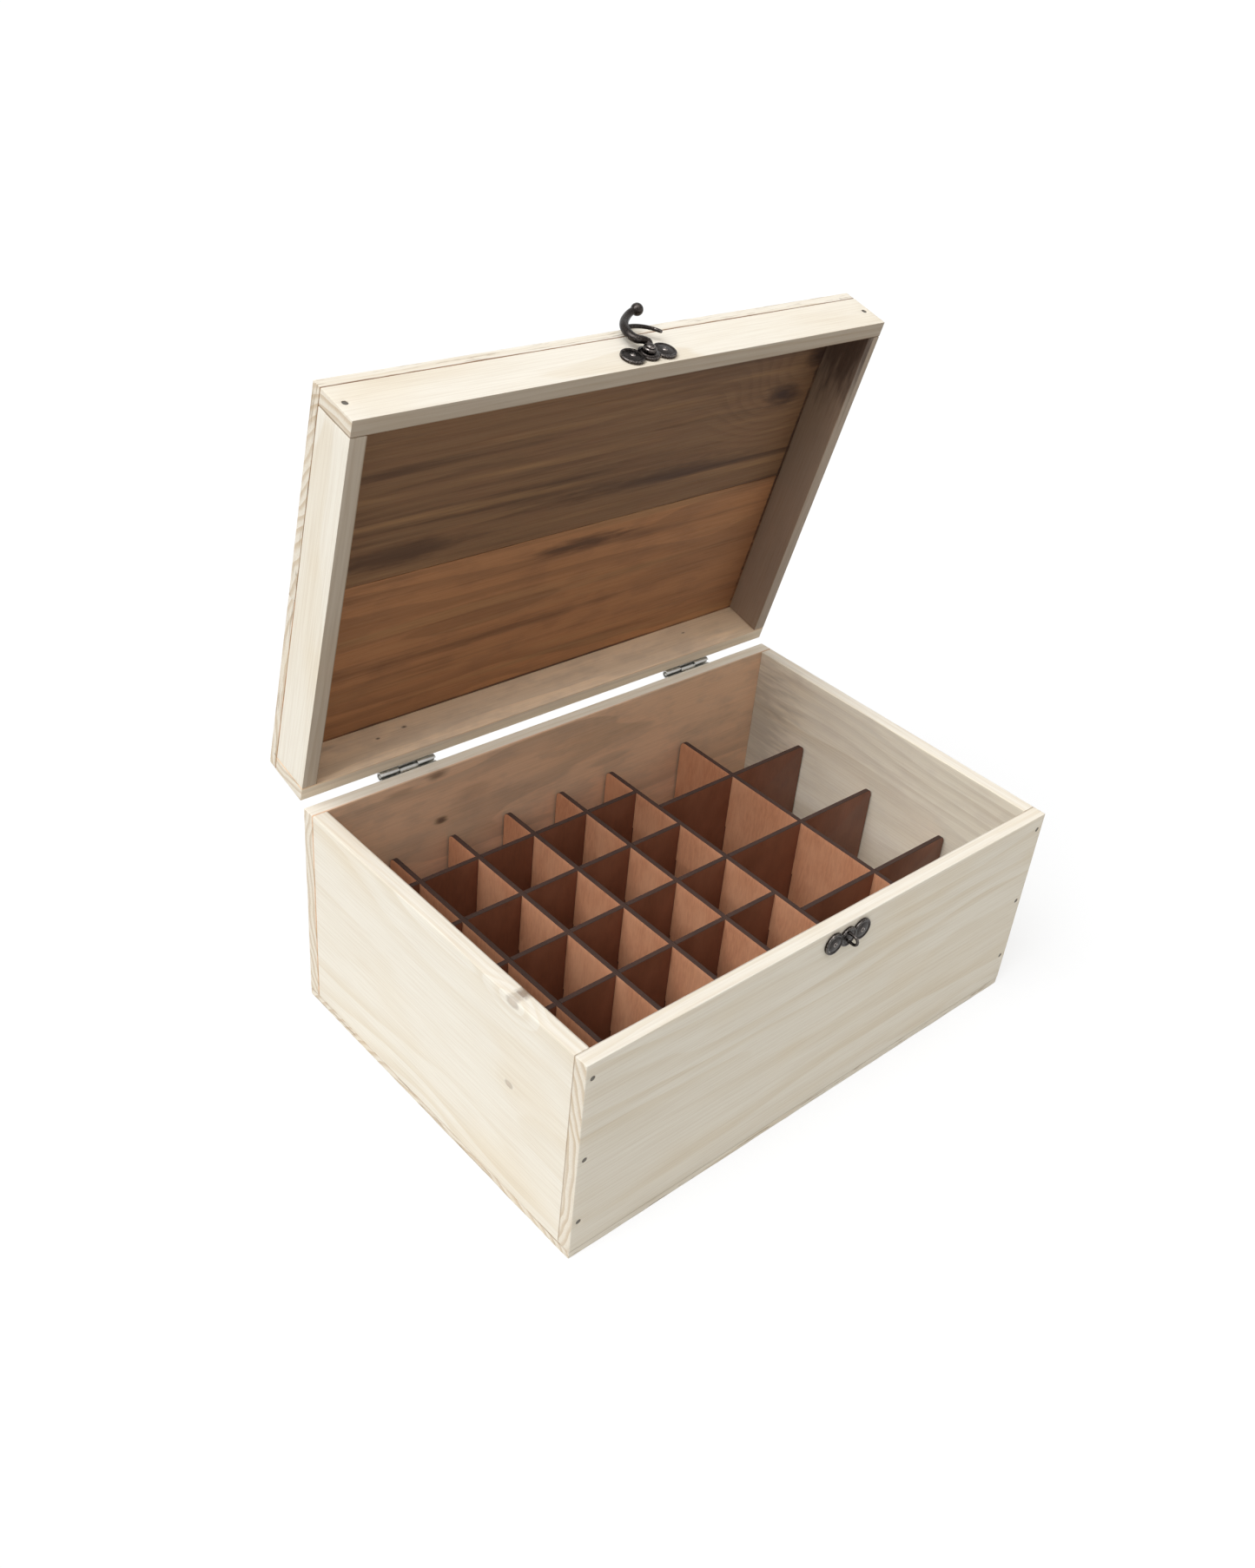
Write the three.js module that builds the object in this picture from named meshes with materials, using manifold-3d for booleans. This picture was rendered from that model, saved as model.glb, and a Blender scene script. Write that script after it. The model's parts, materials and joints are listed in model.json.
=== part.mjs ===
// Art supply box: a nailed softwood case with a hinged lid, a swinging hook latch and a grid of
// slotted hardboard dividers that makes thirty small cells and eight large ones.
//
// Millimetres, +Z up. The origin is the centre of the base board's underside. +X runs to the
// right along the front, +Y from the front to the back. The lid stands open on its two hinges.

import * as THREE from 'three';
import { mergeVertices } from 'three/addons/utils/BufferGeometryUtils.js';
import Module from 'manifold-3d';

const wasm = await Module();
wasm.setup();

// Overall sizes
const WIDTH = 350; // outside, left to right
const DEPTH = 240; // outside, front to back
const BOX_HEIGHT = 133; // table to rim, base board included
const LID_HEIGHT = 33; // rim to top, lid board included

// Boards
const WALL = 9; // front, back and side boards of the box and the lid
const BASE = 5; // base board
const LID_BOARD = 6; // board that closes the lid
const LID_JOINT = 0.3; // glue line between the lid's boards
const RIM_GAP = 0.6; // between the rims when the lid is shut

// Lid position
const LID_OPEN = THREE.MathUtils.degToRad(76); // opening angle, from shut

// Divider grid
const DIVIDER = 3; // board thickness
const DIVIDER_TOP = 86; // table to the dividers' top edges
const DIVIDER_END_GAP = 1; // between a divider's end and the wall it faces
const DIVIDER_CORNER = 4; // radius on the top corners of a divider's ends
const SLOT_FIT = 0.2; // on each side of a board in a slot
const SMALL_COLUMNS = 5; // columns of small cells, from the left wall
const COLUMN_PITCH = 40.2; // small cells, left to right
const WIDE_COLUMN = 64.5; // first column of large cells
const ROW_PITCH = 41; // small cells, front to back
const ROW_BOARDS = 5; // dividers that run left to right through the small cells
const LARGE_ROW_PITCH = 61.5; // large cells, front to back
const TENON = 26; // height of the tenon where a divider ends in another one

// Hardware: gap between a fitting and the wood or fitting that it is seated on
const SEAT = 0.3;
const FIT = 0.3; // clearance all round a fastener in its hole

// Fasteners: head radius, head height, shank radius, length under the head
const NAIL = { head: 1.5, headHeight: 0.6, shank: 0.75, length: 23, domed: false };
const SCREW = { head: 2.3, headHeight: 1.1, shank: 1.1, domed: true, slot: 0.7 };
const PIN = { head: 1.6, headHeight: 0.9, shank: 0.7, domed: true };
const PIN_COVER = 3; // wood left behind a latch pin's point
const NAIL_SINK = 0.3; // depth of a nail's head below the wood's face
const NAIL_MARGIN = 10; // lowest and highest nail to the edge of the front or back board

// Hinges
const HINGE_INSET = 67.5; // hinge centre to the case's end
const HINGE_WIDTH = 36;
const LEAF_HEIGHT = 13.5; // hinge axis to a leaf's outer edge
const LEAF = 1; // leaf thickness
const KNUCKLE = 2.7; // knuckle outer radius
const HINGE_PIN = 1.2; // hinge pin radius
const KNUCKLE_GAP = 0.4; // between knuckles, and between a knuckle and the wood
const SCREW_PITCH = 20; // hinge screws, along the hinge
const SCREW_DROP = 7.8; // hinge axis to the screws

// Latch
const LATCH_X = 1; // latch centre, to the right of the case's middle
const PLATE = 1; // plate thickness
const LOBE = 6.6; // radius of a plate's end lobes
const LOBE_PITCH = 21.4; // end lobe centres
const WAIST = 6; // radius of a plate's middle lobe
const CATCH_DROP = 9; // box rim to the catch's centre
const PIVOT_RISE = 8.4; // lid rim to the hook's pivot
const BOSS_HEIGHT = 1.2; // raised seat under the hook's eye
const BOSS = 4.4; // radius of the raised seat
const EYE = 3.6; // radius of the hook's eye
const EYE_HEIGHT = 2;
const RIVET = { head: 2.5, headHeight: 1.3, shank: 1.1, domed: true };
const HOOK_ROD = 1.9; // radius of the hook's neck
const PRONG_ROD = 1.2; // radius of its prong
const HOOK_HEIGHT = 5.4; // wood face to the rod's centre
const HOOK_BALL = 3.2; // radius of the ball at the hook's end
const HOOK_REST = THREE.MathUtils.degToRad(150); // hook turned up, from latched
const PRONG_START = THREE.MathUtils.degToRad(-40); // prong's root, to the right of the staple
const PRONG_SPAN = THREE.MathUtils.degToRad(66);
const BALL_TURN = THREE.MathUtils.degToRad(-5); // ball, to the right of the staple
const BALL_REACH = 31.5; // pivot to the ball
const STAPLE_ROD = 0.8; // radius of the staple's rod
const STAPLE_FIT = 0.6; // around the hook's prong in the staple

// Facets and cutters
const DOME_STEPS = 3; // rings in a domed head
const FASTENER_SIDES = 10;
const PLATE_SIDES = 24;
const CUT_THROUGH = 20; // long enough to pass through any fitting

// Worked out from the sizes above
const LEFT = -WIDTH / 2;
const RIGHT = WIDTH / 2;
const FRONT = -DEPTH / 2;
const BACK = DEPTH / 2;
const HINGE_OFFSET = KNUCKLE + KNUCKLE_GAP; // back face to the hinge axis
const REACH = CATCH_DROP + PIVOT_RISE + RIM_GAP; // hook's pivot to the staple, lid shut
const STAPLE = PRONG_ROD + STAPLE_FIT + STAPLE_ROD; // radius of the staple's centre line
SCREW.length = WALL + LEAF + 2 * SEAT; // a hinge screw's point reaches the board's inner face
PIN.length = WALL + PLATE + 2 * SEAT - PIN_COVER;
const NAIL_ROWS = [BASE + 2 * NAIL_MARGIN, (BASE + BOX_HEIGHT) / 2, BOX_HEIGHT - NAIL_MARGIN];

// Finishes
const FINISHES = {
  pine: { color: '#e9ddc2', roughness: 0.75, metalness: 0 },
  hardboard: { color: '#6b4331', roughness: 0.8, metalness: 0 },
  bronze: { color: '#4a4540', roughness: 0.42, metalness: 1 },
  steel: { color: '#b9b6ae', roughness: 0.4, metalness: 1 },
};

// ---------------------------------------------------------------------------------------------
// Solids

function solid(geometry) {
  const bare = geometry.clone();
  bare.deleteAttribute('normal');
  bare.deleteAttribute('uv');
  const merged = mergeVertices(bare, 1e-4);
  const corners = merged.index.array;
  const triangles = [];
  for (let i = 0; i < corners.length; i += 3) {
    const [a, b, c] = corners.slice(i, i + 3);
    if (a !== b && b !== c && c !== a) triangles.push(a, b, c);
  }
  return new wasm.Manifold(new wasm.Mesh({
    numProp: 3,
    vertProperties: new Float32Array(merged.attributes.position.array),
    triVerts: new Uint32Array(triangles),
  }));
}

function geometryOf(body) {
  const { vertProperties, triVerts } = body.getMesh();
  const geometry = new THREE.BufferGeometry();
  geometry.setAttribute('position', new THREE.BufferAttribute(vertProperties, 3));
  geometry.setIndex(new THREE.BufferAttribute(triVerts, 1));
  geometry.computeVertexNormals();
  return geometry;
}

function block([x0, x1], [y0, y1], [z0, z1]) {
  const geometry = new THREE.BoxGeometry(x1 - x0, y1 - y0, z1 - z0);
  return geometry.translate((x0 + x1) / 2, (y0 + y1) / 2, (z0 + z1) / 2);
}

// A cylinder along X from x0 to x1.
function roller(radius, x0, x1, sides = 16) {
  const geometry = new THREE.CylinderGeometry(radius, radius, x1 - x0, sides);
  return geometry.rotateZ(-Math.PI / 2).translate((x0 + x1) / 2, 0, 0);
}

// A round rod along a curve.
function rod(curve, radius, steps, sides = 8) {
  const section = new THREE.Shape();
  section.absarc(0, 0, radius, 0, 2 * Math.PI);
  return new THREE.ExtrudeGeometry(section, {
    steps,
    curveSegments: sides,
    extrudePath: curve,
  });
}

// Turned so that the geometry's +Y axis points along `up`, then moved to `at`.
function aim(geometry, at, up) {
  const turn = new THREE.Quaternion().setFromUnitVectors(new THREE.Vector3(0, 1, 0), up);
  return geometry.applyQuaternion(turn).translate(at.x, at.y, at.z);
}

// A nail, screw, pin or rivet as a turned profile. y = 0 is the underside of its head.
function fastenerGeometry({ head, headHeight, shank, length, domed }) {
  const point = Math.min(shank * 1.5, length / 3);
  const profile = [
    new THREE.Vector2(0, -length),
    new THREE.Vector2(shank, -length + point),
    new THREE.Vector2(shank, 0),
    new THREE.Vector2(head, 0),
  ];
  if (domed) {
    for (let i = 1; i < DOME_STEPS; i += 1) {
      const angle = (i / DOME_STEPS) * (Math.PI / 2);
      profile.push(new THREE.Vector2(head * Math.cos(angle), headHeight * Math.sin(angle)));
    }
  } else {
    profile.push(new THREE.Vector2(head, headHeight));
  }
  profile.push(new THREE.Vector2(0, headHeight));
  return new THREE.LatheGeometry(profile, FASTENER_SIDES);
}

// A round cutter along the Y axis from y0 to y1.
function cutter(radius, y0, y1) {
  const geometry = new THREE.CylinderGeometry(radius, radius, y1 - y0, FASTENER_SIDES);
  return solid(geometry.translate(0, (y0 + y1) / 2, 0));
}

// The hole that a fastener sits in, with a pocket that lets its head below the face.
function fastenerHole({ head, shank, length }) {
  const bore = cutter(shank + FIT, -length - FIT, FIT);
  return bore.add(cutter(head + FIT, -FIT, CUT_THROUGH));
}

// A fastener with its place: `seat` is the centre of its head's underside.
function fastener(name, kind, seat, up) {
  const body = solid(fastenerGeometry(kind));
  const slotted = kind.slot ? body.subtract(solid(block(
    [-kind.head, kind.head],
    [kind.headHeight / 2, kind.headHeight * 2],
    [-kind.slot / 2, kind.slot / 2],
  ))) : body;
  return {
    name,
    geometry: aim(geometryOf(slotted), seat, up),
    hole: solid(aim(geometryOf(fastenerHole(kind)), seat, up)),
  };
}

// A board or plate with the holes of the fasteners that pass into it.
function drilled(geometry, fasteners) {
  let body = solid(geometry);
  for (const { hole } of fasteners) {
    body = body.subtract(hole);
  }
  return geometryOf(body);
}

function mesh(name, geometry, finish) {
  const part = new THREE.Mesh(geometry, new THREE.MeshStandardMaterial(FINISHES[finish]));
  part.name = name;
  return part;
}

const TOWARDS_FRONT = new THREE.Vector3(0, -1, 0);
const TOWARDS_BACK = new THREE.Vector3(0, 1, 0);

// ---------------------------------------------------------------------------------------------
// Hinges, in a frame on the hinge axis: +Y away from the wood, leaf 1 below and leaf 2 above

const KNUCKLE_LENGTH = (HINGE_WIDTH - 2 * KNUCKLE_GAP) / 3;
const OUTER_KNUCKLES = [
  [-HINGE_WIDTH / 2, -HINGE_WIDTH / 2 + KNUCKLE_LENGTH],
  [HINGE_WIDTH / 2 - KNUCKLE_LENGTH, HINGE_WIDTH / 2],
];
const MIDDLE_KNUCKLE = [[-KNUCKLE_LENGTH / 2, KNUCKLE_LENGTH / 2]];

// `side` is -1 for the leaf on the box and 1 for the leaf on the lid.
function hingeLeaf(side, knuckles, otherKnuckles, screws) {
  const inner = side * KNUCKLE_GAP;
  const outer = side * LEAF_HEIGHT;
  const face = [SEAT - HINGE_OFFSET, SEAT + LEAF - HINGE_OFFSET];
  let body = solid(block(
    [-HINGE_WIDTH / 2, HINGE_WIDTH / 2],
    face,
    [Math.min(inner, outer), Math.max(inner, outer)],
  ));
  for (const [x0, x1] of otherKnuckles) {
    const clear = KNUCKLE + KNUCKLE_GAP;
    body = body.subtract(solid(block(
      [x0 - KNUCKLE_GAP, x1 + KNUCKLE_GAP],
      [-HINGE_OFFSET, 0],
      [-clear, clear],
    )));
  }
  for (const [x0, x1] of knuckles) {
    body = body.add(solid(roller(KNUCKLE, x0, x1)));
  }
  body = body.subtract(solid(roller(HINGE_PIN + FIT, -HINGE_WIDTH, HINGE_WIDTH)));
  for (const { hole } of screws) {
    body = body.subtract(hole);
  }
  return geometryOf(body);
}

// A hinge's screws in its own frame.
function hingeScrews(name, side) {
  const seat = SEAT + LEAF + SEAT - HINGE_OFFSET;
  return ['left', 'right'].map((end, i) => fastener(
    `${name}_screw_${side < 0 ? 'lower' : 'upper'}_${end}`,
    SCREW,
    new THREE.Vector3((i - 0.5) * SCREW_PITCH, seat, side * SCREW_DROP),
    TOWARDS_BACK,
  ));
}

const HINGES = ['left', 'right'].map((end, i) => {
  const name = `hinge_${end}`;
  return {
    name,
    x: i === 0 ? LEFT + HINGE_INSET : RIGHT - HINGE_INSET,
    lowerScrews: hingeScrews(name, -1),
    upperScrews: hingeScrews(name, 1),
  };
});

// Holes for fasteners that were made in another frame, moved by `offset`.
function moved(fasteners, offset) {
  return fasteners.map(({ name, geometry, hole }) => ({
    name,
    geometry,
    hole: hole.translate(offset),
  }));
}

// ---------------------------------------------------------------------------------------------
// Latch, in a frame on the wood's face: +X right, +Z up, -Y away from the wood

const PIN_SEAT = SEAT + PLATE + SEAT;

function latchPins(name) {
  return ['left', 'right'].map((end, i) => fastener(
    `${name}_pin_${end}`,
    PIN,
    new THREE.Vector3((i - 0.5) * LOBE_PITCH, -PIN_SEAT, 0),
    TOWARDS_FRONT,
  ));
}

// A flat plate of three round lobes.
function lobedPlate() {
  const lobes = [
    [-LOBE_PITCH / 2, LOBE],
    [0, WAIST],
    [LOBE_PITCH / 2, LOBE],
  ];
  let body = null;
  for (const [x, radius] of lobes) {
    const disc = new THREE.CylinderGeometry(radius, radius, PLATE, PLATE_SIDES);
    const lobe = solid(disc.translate(x, -SEAT - PLATE / 2, 0));
    body = body ? body.add(lobe) : lobe;
  }
  return body;
}

function catchPlate(pins) {
  const top = HOOK_HEIGHT;
  const points = [new THREE.Vector3(0, -SEAT - PLATE / 2, -STAPLE)];
  for (let i = 0; i <= 8; i += 1) {
    const angle = (i / 8) * Math.PI;
    points.push(new THREE.Vector3(0, -top - STAPLE * Math.sin(angle), -STAPLE * Math.cos(angle)));
  }
  points.push(new THREE.Vector3(0, -SEAT - PLATE / 2, STAPLE));
  const staple = rod(new THREE.CatmullRomCurve3(points, false, 'centripetal'), STAPLE_ROD, 18);
  let body = lobedPlate().add(solid(staple));
  for (const { hole } of pins) {
    body = body.subtract(hole);
  }
  return geometryOf(body);
}

function rivetHole() {
  return cutter(RIVET.shank + FIT, -CUT_THROUGH, CUT_THROUGH);
}

function hookPlate(pins) {
  const boss = new THREE.CylinderGeometry(WAIST, BOSS, BOSS_HEIGHT, PLATE_SIDES);
  const raised = solid(boss.translate(0, -SEAT - PLATE - BOSS_HEIGHT / 2, 0));
  let body = lobedPlate().add(raised).subtract(rivetHole());
  for (const { hole } of pins) {
    body = body.subtract(hole);
  }
  return geometryOf(body);
}

// A point of the hook, turned by `angle` from straight down and `radius` from the pivot.
function hookPoint(angle, radius, height = HOOK_HEIGHT) {
  return new THREE.Vector3(radius * -Math.sin(angle), -height, radius * -Math.cos(angle));
}

// The hook in its latched position, on its pivot: the neck bows out to the right of the staple,
// the prong runs through it along an arc about the pivot, and the ball hangs below.
function hookGeometry() {
  const eyeBack = SEAT + PLATE + BOSS_HEIGHT + SEAT;
  const eye = new THREE.CylinderGeometry(EYE, EYE, EYE_HEIGHT, 20);
  const neck = new THREE.CatmullRomCurve3([
    hookPoint(PRONG_START * -0.2, EYE * 0.85, eyeBack + HOOK_ROD + SEAT),
    hookPoint(PRONG_START * 0.2, EYE * 1.35, HOOK_HEIGHT - 0.4),
    hookPoint(PRONG_START * 0.95, REACH * 0.34),
    hookPoint(PRONG_START * 1.4, REACH * 0.45),
    hookPoint(PRONG_START * 1.3, REACH * 0.7),
    hookPoint(PRONG_START, REACH),
    hookPoint(PRONG_START * 0.72, REACH * 1.25),
    hookPoint(PRONG_START * 0.45, REACH * 1.5, HOOK_HEIGHT + 0.5),
    hookPoint(BALL_TURN, BALL_REACH, HOOK_HEIGHT + 1.8),
  ]);
  const prong = [];
  for (let i = 0; i <= 8; i += 1) {
    prong.push(hookPoint(PRONG_START + (i / 8) * PRONG_SPAN, REACH));
  }
  const ballCentre = neck.getPoint(1);
  const tip = prong[prong.length - 1];
  const ball = new THREE.SphereGeometry(HOOK_BALL, 14, 10);
  const tipEnd = new THREE.SphereGeometry(PRONG_ROD * 0.98, 8, 6);
  return geometryOf(
    solid(eye.translate(0, -eyeBack - EYE_HEIGHT / 2, 0))
      .add(solid(rod(neck, HOOK_ROD, 28)))
      .add(solid(rod(new THREE.CatmullRomCurve3(prong), PRONG_ROD, 14)))
      .add(solid(ball.translate(ballCentre.x, ballCentre.y, ballCentre.z)))
      .add(solid(tipEnd.translate(tip.x, tip.y, tip.z)))
      .subtract(rivetHole()),
  );
}

function rivetGeometry() {
  const seat = SEAT + PLATE + BOSS_HEIGHT + SEAT + EYE_HEIGHT + SEAT;
  const kind = { ...RIVET, length: seat - SEAT };
  return aim(fastenerGeometry(kind), new THREE.Vector3(0, -seat, 0), TOWARDS_FRONT);
}

// ---------------------------------------------------------------------------------------------
// Box

const object = new THREE.Group();
object.name = 'art_supply_box';

const catchAt = [LATCH_X, FRONT, BOX_HEIGHT - CATCH_DROP];
const catchPins = latchPins('catch');

// Corner nails go through the front or back board into the ends of the side boards.
function cornerNails() {
  const nails = [];
  for (const [face, y, up] of [['front', FRONT, TOWARDS_FRONT], ['back', BACK, TOWARDS_BACK]]) {
    for (const [end, x] of [['left', LEFT + WALL / 2], ['right', RIGHT - WALL / 2]]) {
      NAIL_ROWS.forEach((z, i) => {
        const surface = new THREE.Vector3(x, y, z);
        const seat = surface.addScaledVector(up, -NAIL_SINK - NAIL.headHeight);
        nails.push(fastener(`nail_${face}_${end}_${i + 1}`, NAIL, seat, up));
      });
    }
  }
  return nails;
}

function addBox() {
  const nails = cornerNails();
  const walls = [BASE, BOX_HEIGHT];
  const between = [FRONT + WALL, BACK - WALL];
  const lowerScrews = HINGES.flatMap(({ x, lowerScrews: screws }) => (
    moved(screws, [x, BACK + HINGE_OFFSET, BOX_HEIGHT])
  ));
  const holes = [...nails, ...lowerScrews, ...moved(catchPins, catchAt)];
  const boards = {
    base_board: block([LEFT, RIGHT], [FRONT, BACK], [0, BASE]),
    front_panel: block([LEFT, RIGHT], [FRONT, FRONT + WALL], walls),
    back_panel: block([LEFT, RIGHT], [BACK - WALL, BACK], walls),
    left_panel: block([LEFT, LEFT + WALL], between, walls),
    right_panel: block([RIGHT - WALL, RIGHT], between, walls),
  };
  for (const [name, geometry] of Object.entries(boards)) {
    object.add(mesh(name, drilled(geometry, name === 'base_board' ? [] : holes), 'pine'));
  }
  for (const { name, geometry } of nails) {
    object.add(mesh(name, geometry, 'steel'));
  }
}

// ---------------------------------------------------------------------------------------------
// Divider grid

const INNER_LEFT = LEFT + WALL + DIVIDER_END_GAP;
const INNER_RIGHT = RIGHT - WALL - DIVIDER_END_GAP;
const INNER_FRONT = FRONT + WALL + DIVIDER_END_GAP;
const INNER_BACK = BACK - WALL - DIVIDER_END_GAP;
const DIVIDER_MIDDLE = (BASE + DIVIDER_TOP) / 2;

const COLUMNS = [];
for (let i = 1; i <= SMALL_COLUMNS; i += 1) {
  COLUMNS.push(LEFT + WALL + i * COLUMN_PITCH);
}
COLUMNS.push(COLUMNS[SMALL_COLUMNS - 1] + WIDE_COLUMN);
const PARTITION = COLUMNS[SMALL_COLUMNS - 1]; // between the small cells and the large ones
const FACE_OF_PARTITION = PARTITION + DIVIDER / 2;

const MIDDLE_ROW = (ROW_BOARDS + 1) / 2;
const ROWS = [];
for (let i = 1; i <= ROW_BOARDS; i += 1) {
  const whole = i === MIDDLE_ROW;
  ROWS.push({
    name: `divider_row_${i}`,
    y: (i - MIDDLE_ROW) * ROW_PITCH,
    x: [INNER_LEFT, whole ? INNER_RIGHT : FACE_OF_PARTITION],
    tenon: whole ? 0 : 1,
  });
}
for (const [end, side] of [['front', -1], ['rear', 1]]) {
  ROWS.push({
    name: `divider_row_large_${end}`,
    y: side * LARGE_ROW_PITCH,
    x: [PARTITION - DIVIDER / 2, INNER_RIGHT],
    tenon: -1,
  });
}

// A divider's outline in its own plane, with round corners at the top of its free ends.
function dividerOutline(start, end, roundStart, roundEnd) {
  const outline = new THREE.Shape();
  outline.moveTo(start, BASE);
  outline.lineTo(end, BASE);
  if (roundEnd) {
    outline.absarc(end - DIVIDER_CORNER, DIVIDER_TOP - DIVIDER_CORNER, DIVIDER_CORNER,
      0, Math.PI / 2);
  } else {
    outline.lineTo(end, DIVIDER_TOP);
  }
  if (roundStart) {
    outline.absarc(start + DIVIDER_CORNER, DIVIDER_TOP - DIVIDER_CORNER, DIVIDER_CORNER,
      Math.PI / 2, Math.PI);
  } else {
    outline.lineTo(start, DIVIDER_TOP);
  }
  return outline;
}

// A slot for a crossing board, open at the top or at the bottom.
function crossingSlot(along, openAtTop) {
  const half = DIVIDER / 2 + SLOT_FIT;
  const heights = openAtTop
    ? [DIVIDER_MIDDLE - SLOT_FIT, DIVIDER_TOP + 1]
    : [BASE - 1, DIVIDER_MIDDLE + SLOT_FIT];
  return { along: [along - half, along + half], heights };
}

function flatSlab(outline, slots, place) {
  let body = solid(place(new THREE.ExtrudeGeometry(outline, {
    depth: DIVIDER,
    bevelEnabled: false,
    curveSegments: 5,
  })));
  for (const { along, heights } of slots) {
    body = body.subtract(solid(place(new THREE.BoxGeometry(
      along[1] - along[0],
      heights[1] - heights[0],
      3 * DIVIDER,
    ).translate((along[0] + along[1]) / 2, (heights[0] + heights[1]) / 2, DIVIDER / 2))));
  }
  return geometryOf(body);
}

// A column divider runs front to back. Its slots are open at the bottom.
function columnDivider(x) {
  const crossing = ROWS.filter((row) => row.x[0] < x - DIVIDER && row.x[1] > x + DIVIDER);
  const slots = crossing.map(({ y }) => crossingSlot(y, false));
  for (const { y } of ROWS.filter(({ tenon }) => tenon !== 0 && x === PARTITION)) {
    const half = DIVIDER / 2 + SLOT_FIT;
    const rise = TENON / 2 + SLOT_FIT;
    slots.push({
      along: [y - half, y + half],
      heights: [DIVIDER_MIDDLE - rise, DIVIDER_MIDDLE + rise],
    });
  }
  const place = (geometry) => geometry
    .rotateX(Math.PI / 2)
    .rotateZ(Math.PI / 2)
    .translate(x - DIVIDER / 2, 0, 0);
  return flatSlab(dividerOutline(INNER_FRONT, INNER_BACK, true, true), slots, place);
}

// A row divider runs left to right. Its slots are open at the top, and an end that meets the
// partition narrows to a tenon that passes through it.
function rowDivider({ y, x, tenon }) {
  const crossing = COLUMNS.filter((column) => x[0] < column - DIVIDER && x[1] > column + DIVIDER);
  const slots = crossing.map((column) => crossingSlot(column, true));
  if (tenon !== 0) {
    const shoulder = [PARTITION - DIVIDER / 2 - SLOT_FIT, PARTITION + DIVIDER / 2 + SLOT_FIT];
    const rise = TENON / 2;
    slots.push({ along: shoulder, heights: [BASE - 1, DIVIDER_MIDDLE - rise] });
    slots.push({ along: shoulder, heights: [DIVIDER_MIDDLE + rise, DIVIDER_TOP + 1] });
  }
  const place = (geometry) => geometry.rotateX(Math.PI / 2).translate(0, y + DIVIDER / 2, 0);
  return flatSlab(dividerOutline(x[0], x[1], tenon !== -1, tenon !== 1), slots, place);
}

function addDividers() {
  COLUMNS.forEach((x, i) => {
    object.add(mesh(`divider_column_${i + 1}`, columnDivider(x), 'hardboard'));
  });
  for (const row of ROWS) {
    object.add(mesh(row.name, rowDivider(row), 'hardboard'));
  }
}

// ---------------------------------------------------------------------------------------------
// Lid, in a frame on the hinge axis as if shut: +Z up, -Y towards the front

const lid = new THREE.Group();
lid.position.set(0, BACK + HINGE_OFFSET, BOX_HEIGHT);
lid.rotation.x = -LID_OPEN;
object.add(lid);

const LID_BACK = -HINGE_OFFSET;
const LID_FRONT = LID_BACK - DEPTH;
const pivotAt = [LATCH_X, LID_FRONT, RIM_GAP + PIVOT_RISE];
const pivotPins = latchPins('hook_plate');

function lidNails() {
  const z = (RIM_GAP + LID_HEIGHT - LID_BOARD) / 2;
  return [['left', LEFT + WALL / 2], ['right', RIGHT - WALL / 2]].map(([end, x]) => {
    const surface = new THREE.Vector3(x, LID_FRONT, z);
    const seat = surface.addScaledVector(TOWARDS_FRONT, -NAIL_SINK - NAIL.headHeight);
    return fastener(`nail_lid_front_${end}`, NAIL, seat, TOWARDS_FRONT);
  });
}

function addLid() {
  const nails = lidNails();
  const frame = [RIM_GAP, LID_HEIGHT - LID_BOARD - LID_JOINT];
  const between = [LID_FRONT + WALL + LID_JOINT, LID_BACK - WALL - LID_JOINT];
  const upperScrews = HINGES.flatMap(({ x, upperScrews: screws }) => moved(screws, [x, 0, 0]));
  const holes = [...nails, ...upperScrews, ...moved(pivotPins, pivotAt)];
  const boards = {
    lid_board: block([LEFT, RIGHT], [LID_FRONT, LID_BACK], [LID_HEIGHT - LID_BOARD, LID_HEIGHT]),
    lid_front_rail: block([LEFT, RIGHT], [LID_FRONT, LID_FRONT + WALL], frame),
    lid_back_rail: block([LEFT, RIGHT], [LID_BACK - WALL, LID_BACK], frame),
    lid_left_rail: block([LEFT, LEFT + WALL], between, frame),
    lid_right_rail: block([RIGHT - WALL, RIGHT], between, frame),
  };
  for (const [name, geometry] of Object.entries(boards)) {
    lid.add(mesh(name, drilled(geometry, name === 'lid_board' ? [] : holes), 'pine'));
  }
  for (const { name, geometry } of nails) {
    lid.add(mesh(name, geometry, 'steel'));
  }
}

// ---------------------------------------------------------------------------------------------
// Hinges and latch on the box and the lid

function addHinges() {
  for (const { name, x, lowerScrews, upperScrews } of HINGES) {
    const lower = new THREE.Group();
    lower.position.set(x, BACK + HINGE_OFFSET, BOX_HEIGHT);
    const upper = new THREE.Group();
    upper.position.set(x, 0, 0);
    const lowerLeaf = hingeLeaf(-1, OUTER_KNUCKLES, MIDDLE_KNUCKLE, lowerScrews);
    const upperLeaf = hingeLeaf(1, MIDDLE_KNUCKLE, OUTER_KNUCKLES, upperScrews);
    lower.add(mesh(`${name}_leaf_lower`, lowerLeaf, 'steel'));
    lower.add(mesh(`${name}_pin`, roller(HINGE_PIN, -HINGE_WIDTH / 2, HINGE_WIDTH / 2), 'steel'));
    upper.add(mesh(`${name}_leaf_upper`, upperLeaf, 'steel'));
    for (const screw of lowerScrews) {
      lower.add(mesh(screw.name, screw.geometry, 'steel'));
    }
    for (const screw of upperScrews) {
      upper.add(mesh(screw.name, screw.geometry, 'steel'));
    }
    object.add(lower);
    lid.add(upper);
  }
}

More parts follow.
